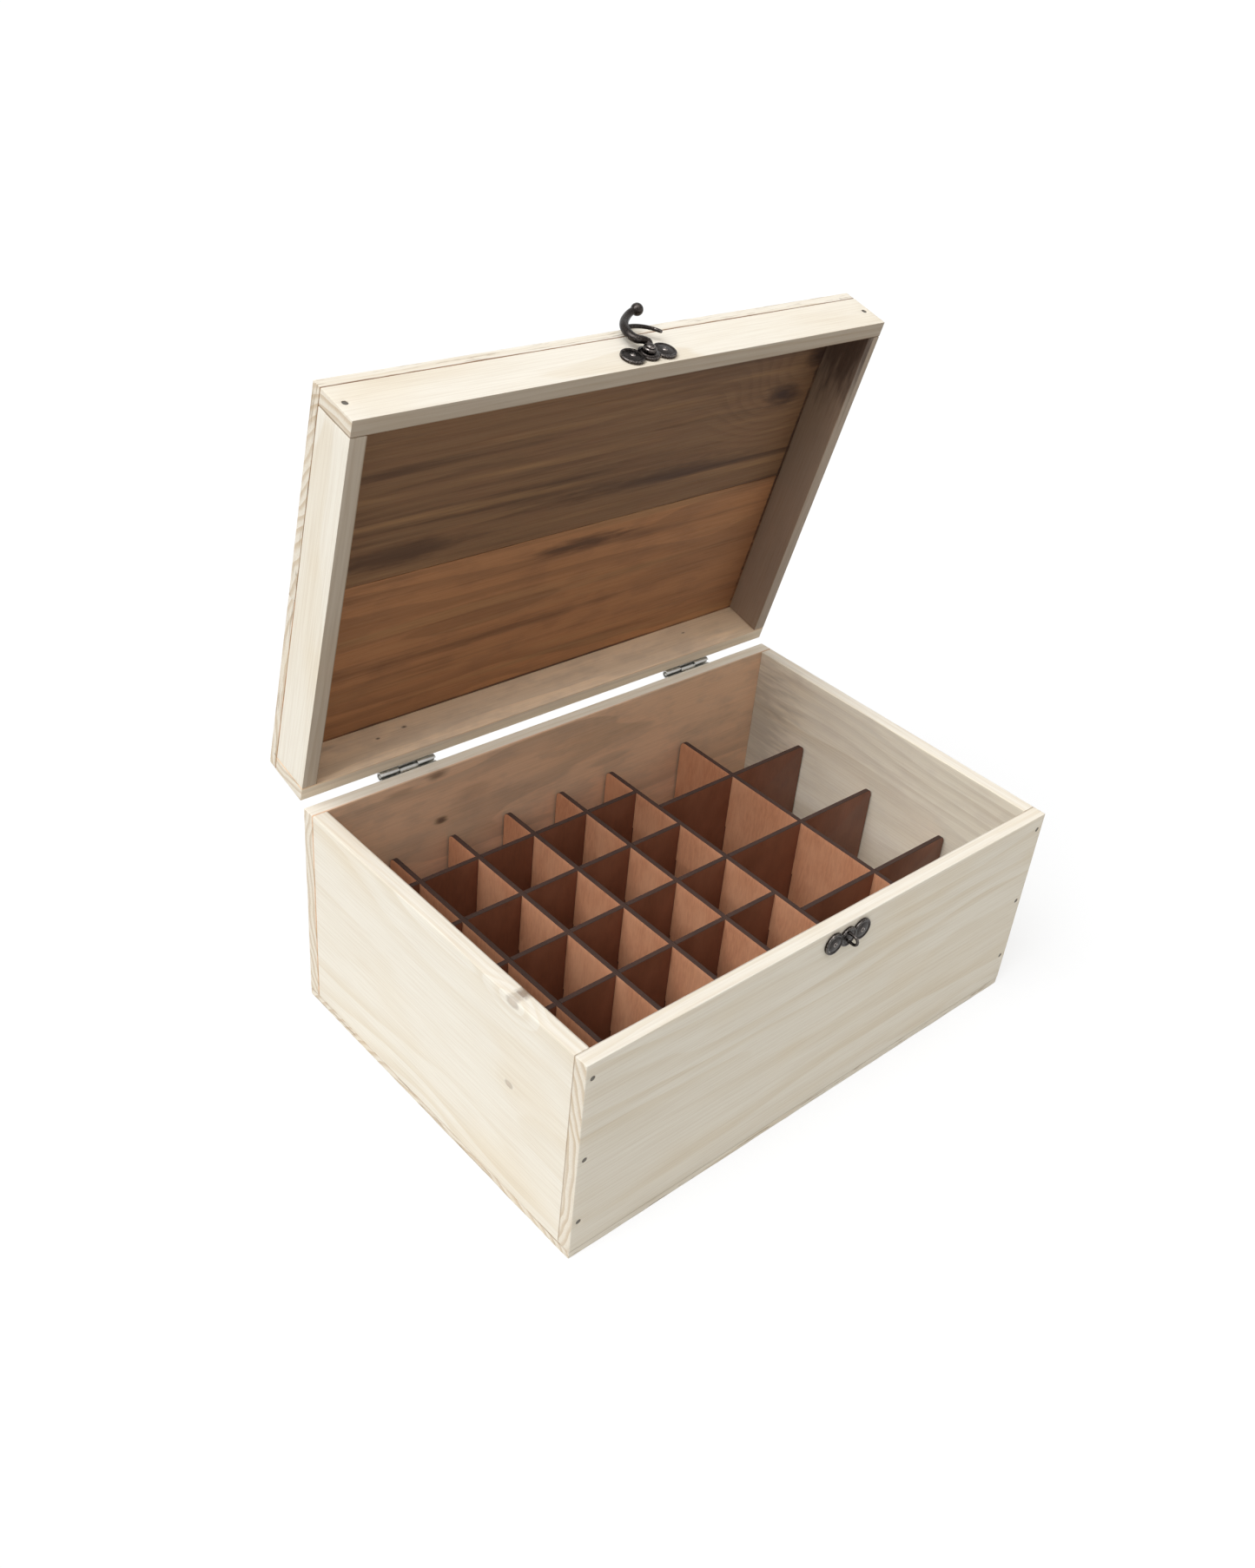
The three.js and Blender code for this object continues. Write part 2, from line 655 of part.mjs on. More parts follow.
function addLatch() {
  const keeper = new THREE.Group();
  keeper.position.set(...catchAt);
  keeper.add(mesh('catch_plate', catchPlate(catchPins), 'bronze'));
  for (const pin of catchPins) {
    keeper.add(mesh(pin.name, pin.geometry, 'bronze'));
  }
  object.add(keeper);

  const pivot = new THREE.Group();
  pivot.position.set(...pivotAt);
  pivot.add(mesh('hook_plate', hookPlate(pivotPins), 'bronze'));
  for (const pin of pivotPins) {
    pivot.add(mesh(pin.name, pin.geometry, 'bronze'));
  }
  pivot.add(mesh('hook_rivet', rivetGeometry(), 'bronze'));
  const hook = mesh('hook', hookGeometry(), 'bronze');
  hook.rotation.y = -HOOK_REST;
  pivot.add(hook);
  lid.add(pivot);
}

addBox();
addDividers();
addLid();
addHinges();
addLatch();

export default object;
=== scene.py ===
"""Art supply box: visual model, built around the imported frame.

Metres, +Z up, in the frame's own axes. Laid out as an add-on: each operator makes one group of
like pieces, and main() runs them in order.
"""

import functools
import json
import math
import random

import bmesh
import bpy
from bpy.props import FloatProperty, FloatVectorProperty, IntProperty, PointerProperty
from mathutils import Matrix, Vector, noise


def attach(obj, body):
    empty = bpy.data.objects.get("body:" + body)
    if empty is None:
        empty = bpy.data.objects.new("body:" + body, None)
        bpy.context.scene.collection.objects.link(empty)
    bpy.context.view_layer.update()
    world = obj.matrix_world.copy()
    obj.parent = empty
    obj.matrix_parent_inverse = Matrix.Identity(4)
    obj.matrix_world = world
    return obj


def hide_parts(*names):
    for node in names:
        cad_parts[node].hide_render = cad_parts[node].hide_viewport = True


bl_info = {
    "name": "Art supply box",
    "version": (1, 0, 0),
    "blender": (4, 5, 0),
    "location": "View3D > Sidebar > Art box",
    "description": "Builds a softwood art supply box with slotted dividers and a hook latch",
    "category": "Object",
}

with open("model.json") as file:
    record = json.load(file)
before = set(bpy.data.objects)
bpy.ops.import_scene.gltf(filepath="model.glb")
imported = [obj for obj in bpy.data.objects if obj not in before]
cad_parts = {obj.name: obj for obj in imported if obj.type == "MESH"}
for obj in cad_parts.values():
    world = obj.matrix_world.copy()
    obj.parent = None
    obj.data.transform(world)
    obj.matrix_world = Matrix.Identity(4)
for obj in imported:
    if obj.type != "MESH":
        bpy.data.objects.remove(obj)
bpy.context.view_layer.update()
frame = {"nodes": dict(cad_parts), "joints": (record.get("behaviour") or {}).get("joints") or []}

MM = 0.001
X, Y, Z = Vector((1, 0, 0)), Vector((0, 1, 0)), Vector((0, 0, 1))
JOINTS = {joint["name"]: joint for joint in frame["joints"]}


def linear(hex_colour):
    """Linear red, green, blue and alpha of an sRGB hex colour."""
    channels = [int(hex_colour[i:i + 2], 16) / 255 for i in (1, 3, 5)]
    return [c / 12.92 if c <= 0.04045 else ((c + 0.055) / 1.055) ** 2.4 for c in channels] + [1]


def joint_frame(name, turn):
    """A frame on a joint's axis, turned about it by `turn` degrees from straight."""
    joint = JOINTS[name]
    return (Matrix.Translation(joint["pos_m"])
            @ Matrix.Rotation(math.radians(turn), 4, Vector(joint["axis"])))


# The lid's own frame lies on the hinge axis: X right, Y to the back, Z up as if the lid were shut.
LID = joint_frame("lid_hinge", -JOINTS["lid_hinge"]["range_deg"][0])
CASE = Matrix.Identity(4)


def span(node, space=CASE):
    """Lowest and highest corner of a frame node, in the axes of `space`."""
    turned = [space.inverted() @ v.co for v in frame["nodes"][node].data.vertices]
    low = Vector([min(p[i] for p in turned) for i in range(3)])
    high = Vector([max(p[i] for p in turned) for i in range(3)])
    return low, high


def axes(x, y, z, origin=(0, 0, 0)):
    """The frame with these axes at an origin."""
    return Matrix.Translation(origin) @ Matrix((x, y, z)).transposed().to_4x4()


# ---------------------------------------------------------------------------------------------
# Sizes and colours


class BoxSizes(bpy.types.PropertyGroup):
    """Sizes that finish the boards and fittings."""

    edge_ease: FloatProperty(
        name="Eased edge", description="Radius sanded on the boards' edges",
        default=0.7 * MM, min=0.1 * MM, max=2 * MM, unit="LENGTH")
    lid_ease: FloatProperty(
        name="Eased edge of lid", description="Radius sanded on the edges of the lid's boards",
        default=0.4 * MM, min=0.1 * MM, max=1 * MM, unit="LENGTH")
    saw_depth: FloatProperty(
        name="Saw marks", description="Depth of the marks on the lid and base boards' sawn edges",
        default=0.35 * MM, min=0, max=1 * MM, unit="LENGTH")
    board_step: FloatProperty(
        name="Board step", description="Distance between points along a board",
        default=6 * MM, min=2 * MM, max=20 * MM, unit="LENGTH")
    glue_line: FloatProperty(
        name="Glue line", description="How far the lid's board is let down onto its rails",
        default=0.25 * MM, min=0, max=0.28 * MM, unit="LENGTH")
    divider_bevel: FloatProperty(
        name="Divider edge", description="Bevel on the dividers' cut edges",
        default=0.2 * MM, min=0.05 * MM, max=0.5 * MM, unit="LENGTH")
    cast_detail: FloatProperty(
        name="Casting detail", description="Size of the cells that the cast fittings are made of",
        default=0.22 * MM, min=0.1 * MM, max=0.5 * MM, unit="LENGTH")
    seed: IntProperty(
        name="Grain", description="Number that picks the grain of the boards", default=7, min=0)


def colour_property(name, description, value):
    return FloatVectorProperty(name=name, description=description, subtype="COLOR", size=3,
                               min=0, max=1, default=linear(value)[:3])


class BoxColours(bpy.types.PropertyGroup):
    """Colours of the woods, metals and floor."""

    sapwood: colour_property("Sapwood", "Pale wood between the ring lines", "#f2eadb")
    ring_line: colour_property("Ring line", "Darker late wood in each yearly ring", "#d6c09a")
    # Also the dark colour of the painted shade patches and lines among the stains
    streak_and_shade: colour_property("Streak", "Dark streaks in the heartwood", "#40291c")
    knot: colour_property("Knot", "Centre of a knot", "#6a4a30")
    divider_rough: colour_property("Divider back", "Rough, paler side of the dividers", "#cd9069")
    # Darker partly as painted shade on the faces turned to the front and the right
    divider_smooth_shaded: colour_property("Divider face", "Smooth, darker side of the dividers",
                                    "#74452f")
    divider_edge: colour_property("Divider edge", "Burnt edge of the dividers", "#38241b")
    bronze: colour_property("Bronze", "Blackened finish of the latch", "#2b2725")
    # Partly worn metal and partly painted highlight on the latch's ridges
    bronze_worn_highlight: colour_property("Worn bronze", "Latch where it is rubbed", "#b3aaa4")
    steel: colour_property("Steel", "Zinc plated hinges", "#b4b3ae")
    nail: colour_property("Nail", "Nail heads", "#6f6a62")
    floor: colour_property("Floor", "Pale floor", "#fefefd")


# ---------------------------------------------------------------------------------------------
# Meshes


def worked(mesh, *steps):
    """The mesh after a list of modifiers, each a (type, settings) pair."""
    holder = bpy.data.objects.new("working", mesh)
    bpy.context.scene.collection.objects.link(holder)
    for kind, settings in steps:
        modifier = holder.modifiers.new(kind, kind)
        for key, value in settings.items():
            setattr(modifier, key, value)
    depsgraph = bpy.context.evaluated_depsgraph_get()
    result = bpy.data.meshes.new_from_object(holder.evaluated_get(depsgraph))
    bpy.data.objects.remove(holder)
    return result


def cut(mesh, tool):
    """The mesh with the shape of `tool` cut out of it."""
    cutter = bpy.data.objects.new("cutter", tool)
    bpy.context.scene.collection.objects.link(cutter)
    result = worked(mesh, ("BOOLEAN", {
        "object": cutter, "operation": "DIFFERENCE", "solver": "EXACT"}))
    bpy.data.objects.remove(cutter)
    return result


def joined(meshes):
    """One mesh that holds all of these."""
    shape = bmesh.new()
    for mesh in meshes:
        shape.from_mesh(mesh)
    return mesh_of(shape)


def mesh_of(shape):
    bmesh.ops.recalc_face_normals(shape, faces=shape.faces)
    mesh = bpy.data.meshes.new("shape")
    shape.to_mesh(mesh)
    shape.free()
    return mesh


def moved(mesh, matrix):
    mesh.transform(matrix)
    return mesh


def turned(profile, sides=32):
    """A closed turned shape about Z. The profile's (radius, height) points start and end on it."""
    shape = bmesh.new()
    rings = []
    for radius, height in profile:
        if radius <= 0:
            rings.append([shape.verts.new((0, 0, height))])
            continue
        rings.append([shape.verts.new((radius * math.cos(2 * math.pi * i / sides),
                                       radius * math.sin(2 * math.pi * i / sides), height))
                      for i in range(sides)])
    for lower, upper in zip(rings, rings[1:]):
        for i in range(sides):
            j = (i + 1) % sides
            corners = [lower[i % len(lower)], lower[j % len(lower)],
                       upper[j % len(upper)], upper[i % len(upper)]]
            shape.faces.new(list(dict.fromkeys(corners)))
    return mesh_of(shape)


def dome(radius, height, steps=6, base=0.0):
    """Points of a turned dome from its rim to its top."""
    return [(radius * math.cos(math.pi / 2 * i / steps) if i < steps else 0,
             base + height * math.sin(math.pi / 2 * i / steps)) for i in range(steps + 1)]


def slab(outlines, thickness, bevel):
    """A flat plate in XY with eased edges. The first outline is its rim, the others are holes."""
    curve = bpy.data.curves.new("outline", "CURVE")
    curve.dimensions = "2D"
    curve.fill_mode = "BOTH"
    curve.extrude = thickness / 2 - bevel
    curve.bevel_depth = bevel
    curve.bevel_resolution = 2
    curve.offset = -bevel
    for points in outlines:
        spline = curve.splines.new("POLY")
        spline.points.add(len(points) - 1)
        spline.use_cyclic_u = True
        for point, (u, v) in zip(spline.points, points):
            point.co = (u, v, 0, 1)
    holder = bpy.data.objects.new("outline", curve)
    bpy.context.scene.collection.objects.link(holder)
    depsgraph = bpy.context.evaluated_depsgraph_get()
    mesh = bpy.data.meshes.new_from_object(holder.evaluated_get(depsgraph))
    bpy.data.objects.remove(holder)
    shape = bmesh.new()
    shape.from_mesh(mesh)
    bmesh.ops.remove_doubles(shape, verts=shape.verts, dist=bevel / 50)
    return mesh_of(shape)


def arc(centre, radius, start, end, steps):
    """Points along an arc in degrees."""
    return [(centre[0] + radius * math.cos(math.radians(start + (end - start) * i / steps)),
             centre[1] + radius * math.sin(math.radians(start + (end - start) * i / steps)))
            for i in range(steps + 1)]


def tube(points, radii, sides=16):
    """A round rod through points, with its own radius at each and flat ends."""
    shape = bmesh.new()
    rings = []
    normal = None
    count = len(points)
    for i, (point, radius) in enumerate(zip(points, radii)):
        ahead = points[min(i + 1, count - 1)] - points[max(i - 1, 0)]
        ahead.normalize()
        if normal is None:
            normal = ahead.orthogonal()
        normal = (normal - ahead * normal.dot(ahead)).normalized()
        side = ahead.cross(normal)
        rings.append([shape.verts.new(point + radius * (
            normal * math.cos(2 * math.pi * k / sides) + side * math.sin(2 * math.pi * k / sides)))
            for k in range(sides)])
    for lower, upper in zip(rings, rings[1:]):
        for k in range(sides):
            j = (k + 1) % sides
            shape.faces.new((lower[k], lower[j], upper[j], upper[k]))
    shape.faces.new(rings[0])
    shape.faces.new(rings[-1])
    return mesh_of(shape)


def smooth_path(points, steps=6):
    """Points of a smooth curve through the given ones."""
    ends = [2 * points[0] - points[1]] + list(points) + [2 * points[-1] - points[-2]]
    path = []
    for a, b, c, d in zip(ends, ends[1:], ends[2:], ends[3:]):
        for i in range(steps):
            t = i / steps
            path.append(0.5 * (2 * b + (c - a) * t + (2 * a - 5 * b + 4 * c - d) * t * t
                               + (3 * b - a - 3 * c + d) * t ** 3))
    return path + [points[-1]]


def ball(centre, radius):
    shape = bmesh.new()
    bmesh.ops.create_uvsphere(shape, u_segments=24, v_segments=16, radius=radius)
    bmesh.ops.translate(shape, verts=shape.verts, vec=centre)
    return mesh_of(shape)


def block(low, high):
    shape = bmesh.new()
    bmesh.ops.create_cube(shape, size=1)
    size = Vector(high) - Vector(low)
    bmesh.ops.scale(shape, verts=shape.verts, vec=size)
    bmesh.ops.translate(shape, verts=shape.verts, vec=(Vector(high) + Vector(low)) / 2)
    return mesh_of(shape)


def shaded(mesh, angle=35):
    """Smooth shading, with edges sharper than `angle` degrees kept crisp."""
    for polygon in mesh.polygons:
        polygon.use_smooth = True
    mesh.set_sharp_from_angle(angle=math.radians(angle))
    return mesh


def piece(name, mesh, body, materials, nodes=(), place=CASE):
    """Adds a finished piece that rides on a body and stands for its frame nodes."""
    mesh.name = name
    mesh.materials.clear()
    for material in materials:
        mesh.materials.append(material)
    obj = bpy.data.objects.new(name, mesh)
    bpy.context.scene.collection.objects.link(obj)
    obj.matrix_world = place
    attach(obj, body)
    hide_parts(*nodes)
    return obj


# ---------------------------------------------------------------------------------------------
# Materials


def add(tree, kind, links=None, output=0, **settings):
    """Adds a shader node and gives one of its outputs. Settings name its properties, links its
    inputs: a value, or another node's output."""
    node = tree.nodes.new("ShaderNode" + kind)
    for key, value in settings.items():
        setattr(node, key, value)
    for key, value in (links or {}).items():
        if isinstance(value, bpy.types.NodeSocket):
            tree.links.new(value, node.inputs[key])
        else:
            node.inputs[key].default_value = value
    return node.outputs[output] if node.outputs else None


SOFT = {"interpolation_type": "SMOOTHSTEP"}  # map a range with soft ends
TINT = {"data_type": "RGBA"}  # mix two colours
PLUS = {"operation": "ADD"}
TIMES = {"operation": "MULTIPLY"}
LESS = {"operation": "SUBTRACT"}
LARGER = {"operation": "MAXIMUM"}
SIZE = {"operation": "ABSOLUTE"}


def new_material(name):
    """A material with an empty node tree, and `add` for that tree."""
    material = bpy.data.materials.new(name)
    material.use_nodes = True
    material.node_tree.nodes.clear()
    return material, functools.partial(add, material.node_tree)


# Sizes in mm of the grains of each pattern in the wood, along, across and through a board, then
# its levels of detail and their strength
FIGURE = {
    "wander": ((285, 83, 83), 2, 0.5),  # how the rings wave along the board
    "spread": ((250, 33, 33), 2, 0.5),  # uneven widths of the rings
    "fibre": ((45, 0.9, 0.9), 3, 0.6),  # drawn a little coarser than real fibres
    "broad": ((250, 28, 20), 3, 0.5),
    "blotch": ((83, 45, 33), 2, 0.5),
    "mottle": ((26, 11, 30), 3, 0.6),
    "pores": ((8, 0.45, 0.45), 2, 0.6),
    "dark": ((350, 13, 50), 5, 0.62),  # streaks in heartwood
    "light": ((250, 9, 50), 4, 0.6),
    "wane": ((30, 30, 1.6), 4, 0.65),  # brown marks on sawn edges
    "ragged": ((2, 2, 2), 2, 0.5),
    "soft": ((20, 3.3, 3.3), 3, 0.5),
}
RINGS_PER_MM = 0.21
RING_UNEVEN = 2  # rings that their spacing drifts by
RING_WANDER = 22  # mm that the rings wave sideways


def yearly_rings(node, at, figure, pith, knots):
    """Late wood of the rings about a pith outside the board, waved along its length and bowed
    round the knots, then how much of each point is knot and how much is a knot's heart."""
    wave = node("VectorMath", {0: figure["wander"].node.outputs["Color"], 1: (0.5, 0.5, 0.5)},
                **LESS)
    warped = node("VectorMath", {0: at, 1: node(
        "VectorMath", {0: wave, 1: (0, RING_WANDER, RING_WANDER)}, **TIMES)}, **PLUS)
    distance = node("VectorMath", {0: node("VectorMath", {0: warped, 1: (0, 1, 1)}, **TIMES),
                                   1: (0, *pith)}, "Value", operation="DISTANCE")
    knot = heart = None
    for x, y, radius in knots:
        near = node("VectorMath", {0: at, 1: (x, y, 0)}, **LESS)
        near = node("VectorMath", {0: near, 1: (0.62 / radius, 1 / radius, 0)}, **TIMES)
        reach = node("VectorMath", {0: near}, "Value", operation="LENGTH")
        ragged = node("Math", {0: reach, 1: node(
            "Math", {0: figure["ragged"], 1: 0.5}, **TIMES)}, **PLUS)
        spot = node("MapRange", {0: ragged, 1: 1.45, 2: 0.85, 4: 0.75}, **SOFT)
        centre = node("MapRange", {0: reach, 1: 0.75, 2: 0.3, 4: 0.6}, **SOFT)
        knot = node("Math", {0: knot, 1: spot}, **LARGER) if knot else spot
        heart = node("Math", {0: heart, 1: centre}, **LARGER) if heart else centre
        bow = node("MapRange", {0: reach, 1: 5, 2: 0.6, 4: 2.2 * radius}, **SOFT)
        distance = node("Math", {0: distance, 1: bow}, **PLUS)
    turns = node("Math", {0: node("Math", {0: distance, 1: RINGS_PER_MM}, **TIMES), 1: node(
        "Math", {0: figure["spread"], 1: RING_UNEVEN}, **TIMES)}, **PLUS)
    phase = node("Math", {0: turns}, operation="FRACT")
    late = node("Math", {
        0: node("MapRange", {0: phase, 1: 0.25, 2: 0.88}, **SOFT),
        1: node("MapRange", {0: phase, 1: 1, 2: 0.93}, **SOFT)}, **TIMES)
    return late, knot, heart


def pale_wood(node, figure, late):
    """Sapwood with faint ring lines and warmer clouds."""
    colours = bpy.context.scene.art_box_colours
    strength = node("Math", {0: late, 1: node(
        "MapRange", {0: figure["broad"], 1: 0.3, 2: 0.75, 3: 0.05, 4: 0.32}, **SOFT)}, **TIMES)
    pale = node("Mix", {0: strength, 6: [*colours.sapwood, 1], 7: [*colours.ring_line, 1]}, 2,
                **TINT)
    warm = node("MapRange", {0: figure["blotch"], 1: 0.5, 2: 0.8, 4: 0.3}, **SOFT)
    return node("Mix", {0: warm, 6: pale, 7: linear("#e9d6b6")}, 2, **TINT)


def brown_wood(node, figure, late, brown, streaks, streak_and_shade):
    """Heartwood: mottled, and where it is streaked with darker and lighter lines."""
    aged = node("MapRange", {0: late, 4: 0.3}, **SOFT)
    dark = node("Mix", {0: aged, 6: linear(brown), 7: linear("#6d4c33")}, 2, **TINT)
    mottle = node("MapRange", {0: figure["mottle"], 1: 0.42, 2: 0.68, 4: 0.3}, **SOFT)
    dark = node("Mix", {0: mottle, 6: dark, 7: linear("#8b6346")}, 2, **TINT)
    if streaks:
        drawn = node("MapRange", {0: figure["dark"], 1: 0.5, 2: 0.66, 4: streaks}, **SOFT)
        dark = node("Mix", {0: drawn, 6: dark, 7: streak_and_shade}, 2, **TINT)
        lighter = node("MapRange", {0: figure["light"], 1: 0.52, 2: 0.72, 4: 0.5}, **SOFT)
        dark = node("Mix", {0: lighter, 6: dark, 7: linear("#b98f62")}, 2, **TINT)
    return dark


def softwood(name, size, seed, pith=(9.0, -160.0), inner=0.0, rim=0.0, knots=(), stains=(),
             streaks=0.0, sawn=0.0, brown="#866a4b"):
    """Planed softwood, unfinished: pale and matt, with soft brown ring lines along the board,
    short fibre marks, and darker end grain that shows the rings as arcs.

    Board axes in mm from its centre: X along the grain, Y across, Z out of its outer face.
    Knots are (x, y, radius) and stains (x, y, half length, half width, strength). The stain
    entries hold real stains and also painted shade: dark patches and lines where shadow falls.
    Inner browns the inner face, partly as the wood is and partly as painted warm shade; rim
    paints shade on the rails' open rims.
    """
    colours = bpy.context.scene.art_box_colours
    streak_and_shade = [*colours.streak_and_shade, 1]
    material, node = new_material(name)
    placed = node("TexCoord", output="Object")
    normal = node("SeparateXYZ", {0: node("TexCoord", output="Normal")}, "Y")
    normal_x, normal_y, normal_z = normal.node.outputs
    at = node("Mapping", {"Vector": placed, "Scale": (1000, 1000, 1000)})
    depth = node("SeparateXYZ", {0: at}, "Z")
    grain = node("Mapping", {"Vector": placed, "Scale": (1000, 1000, 1000),
                             "Location": (seed * 137.0, seed * 71.0, seed * 53.0)})
    figure = {}
    for pattern, (grains, detail, strength) in FIGURE.items():
        stretched = node("Mapping", {
            "Vector": grain, "Scale": [1 / length for length in grains]})
        figure[pattern] = node("TexNoise", {
            "Vector": stretched, "Scale": 1, "Detail": detail, "Roughness": strength})

    late, knot, heart = yearly_rings(node, at, figure, pith, knots)
    pale = pale_wood(node, figure, late)
    dark = brown_wood(node, figure, late, brown, streaks, streak_and_shade)
    # Inner faces are mixed toward the brown wood: partly the wood's own browner inner side, partly
    # painted warm shade of the box's and lid's insides
    inside = node("MapRange", {
        0: depth, 1: 1.2 - size[2] / 2, 2: 0.4 - size[2] / 2, 4: inner}, **SOFT)
    # Painted shade: faces that point along the board's -Y, the rails' open rims, are mixed toward
    # the brown wood
    if rim:
        edge = node("MapRange", {0: normal_y, 1: -0.5, 2: -0.9, 4: rim}, **SOFT)
        inside = node("Math", {0: inside, 1: edge}, **LARGER)
    colour = node("Mix", {0: inside, 6: pale, 7: dark}, 2, **TINT)
    marks = node("MapRange", {0: figure["fibre"], 1: 0.35, 2: 0.75, 4: 0.16}, **SOFT)
    colour = node("Mix", {0: marks, 6: colour, 7: linear("#b8996b")}, 2, **TINT,
                  blend_type="MULTIPLY")

    # Knots go through the board, paler where the outer face is planed. Stains and pitch show
    # on the inner side only, and so do the patches and lines of painted shade among the stains
    inner_side = node("MapRange", {0: depth, 1: 0.5, 2: -0.5}, **SOFT)
    if knot:
        planed = node("MapRange", {0: inner_side, 3: 0.5}, **SOFT)
        knot = node("Math", {0: knot, 1: planed}, **TIMES)
        ringed = node("Mix", {0: heart, 6: [*colours.knot, 1], 7: linear("#a17a52")}, 2, **TINT)
        colour = node("Mix", {0: knot, 6: colour, 7: ringed}, 2, **TINT)
    # Each entry darkens a soft patch toward the streak colour: real stains, and painted shade
    # where shadow falls on the inner faces
    for x, y, long, wide, strength in stains:
        away = node("VectorMath", {0: at, 1: (x, y, 0)}, **LESS)
        away = node("VectorMath", {0: away, 1: (1 / long, 1 / wide, 0)}, **TIMES)
        away = node("VectorMath", {0: away}, "Value", operation="LENGTH")
        uneven = node("Math", {0: away, 1: node(
            "Math", {0: figure["soft"], 1: 1.1}, **TIMES)}, **PLUS)
        shown = node("MapRange", {0: uneven, 1: 1.6, 2: 0.7, 4: strength}, **SOFT)
        here = node("Math", {0: shown, 1: inner_side}, **TIMES)
        colour = node("Mix", {0: here, 6: colour, 7: streak_and_shade}, 2, **TINT)

    # End grain soaks up light between its open cells
    end = node("MapRange", {0: node("Math", {0: normal_x}, **SIZE),
                            1: 0.6, 2: 0.9, 4: 0.5}, **SOFT)
    end_ring = node("MapRange", {0: late, 3: 0.25, 4: 0.85}, **SOFT)
    end_grain = node("Mix", {0: end_ring, 6: colour, 7: linear("#b08d5f")}, 2, **TINT)
    colour = node("Mix", {0: end, 6: colour, 7: end_grain}, 2, **TINT)
    if sawn:
        # Thin brown marks of the saw and of wane, along the sawn edges
        side = node("MapRange", {0: node("Math", {0: normal_z}, **SIZE),
                                 1: 0.6, 2: 0.3, 4: sawn}, **SOFT)
        wane = node("MapRange", {0: figure["wane"], 1: 0.54, 2: 0.64}, **SOFT)
        marked = node("Math", {0: side, 1: wane}, **TIMES)
        colour = node("Mix", {0: marked, 6: colour, 7: linear("#8f7350")}, 2, **TINT)

    relief = node("Math", {0: figure["fibre"], 1: 0.7}, **TIMES)
    for pattern, share in ((figure["pores"], 0.3), (late, 0.35)):
        relief = node("Math", {0: relief, 1: node(
            "Math", {0: pattern, 1: share}, **TIMES)}, **PLUS)
    bump = node("Bump", {"Height": relief, "Strength": 0.6, "Distance": 0.12 * MM})
    matt = node("MapRange", {0: figure["fibre"], 1: 0.2, 2: 0.8, 3: 0.66, 4: 0.82}, **SOFT)
    surface = node("BsdfPrincipled", {"Base Color": colour, "Roughness": matt, "Normal": bump})
    node("OutputMaterial", {"Surface": surface})
    return material


def hardboard(name, side):
    """Hardboard, pressed from brown wood fibre. One side is smooth, dark and faintly glossy, the
    other is paler and matt, with the print of the pressing screen. The smooth side's darkness is
    partly painted shade: it is turned to the front and the right, away from the light, where the
    dividers stand in shade. Laser-cut edges are charred."""
    colours = bpy.context.scene.art_box_colours
    material, node = new_material(name)
    at = node("Mapping", {"Vector": node("TexCoord", output="Object"),
                          "Scale": (1000, 1000, 1000)})
    # Fibre flecks are drawn 1.2 mm wide so that they show, and upright as they lie in the sheet
    fleck = node("TexNoise", {"Vector": node("Mapping", {"Vector": at, "Scale": (0.8, 0.8, 0.14)}),
                              "Scale": 1, "Detail": 3, "Roughness": 0.65})
    # Clouds 20 mm wide, where the fibre lay thicker
    cloud = node("TexNoise", {"Vector": node("Mapping", {
        "Vector": at, "Scale": (0.05, 0.05, 0.03)}), "Scale": 1, "Detail": 3})
    base, fibre, cloudy, rough, relief = {
        "edge": (colours.divider_edge, "#4a3024", "#2b1b14", 0.85, 0.05),
        # The smooth side's darker colours are partly painted shade
        "smooth": (colours.divider_smooth_shaded, "#5f3727", "#8d5a42", 0.42, 0.02),
        "rough": (colours.divider_rough, "#a8694a", "#dba37c", 0.75, 0.08),
    }[side]
    flecked = node("MapRange", {0: fleck, 1: 0.3, 2: 0.75, 4: 0.5}, **SOFT)
    colour = node("Mix", {0: flecked, 6: [*base, 1], 7: linear(fibre)}, 2, **TINT)
    clouded = node("MapRange", {0: cloud, 1: 0.35, 2: 0.7, 4: 0.45}, **SOFT)
    colour = node("Mix", {0: clouded, 6: colour, 7: linear(cloudy)}, 2, **TINT)
    height = fleck
    if side == "rough":
        # Screen print: a weave 2 mm apart
        for axis in ("X", "Y", "Z"):
            lines = node("TexWave", {"Vector": at, "Scale": 0.16}, "Fac", bands_direction=axis)
            height = node("Math", {0: height, 1: node(
                "Math", {0: lines, 1: 0.2}, **TIMES)}, **PLUS)
    bump = node("Bump", {"Height": height, "Strength": 0.5, "Distance": relief * MM})
    surface = node("BsdfPrincipled", {"Base Color": colour, "Roughness": rough, "Normal": bump})
    node("OutputMaterial", {"Surface": surface})
    return material


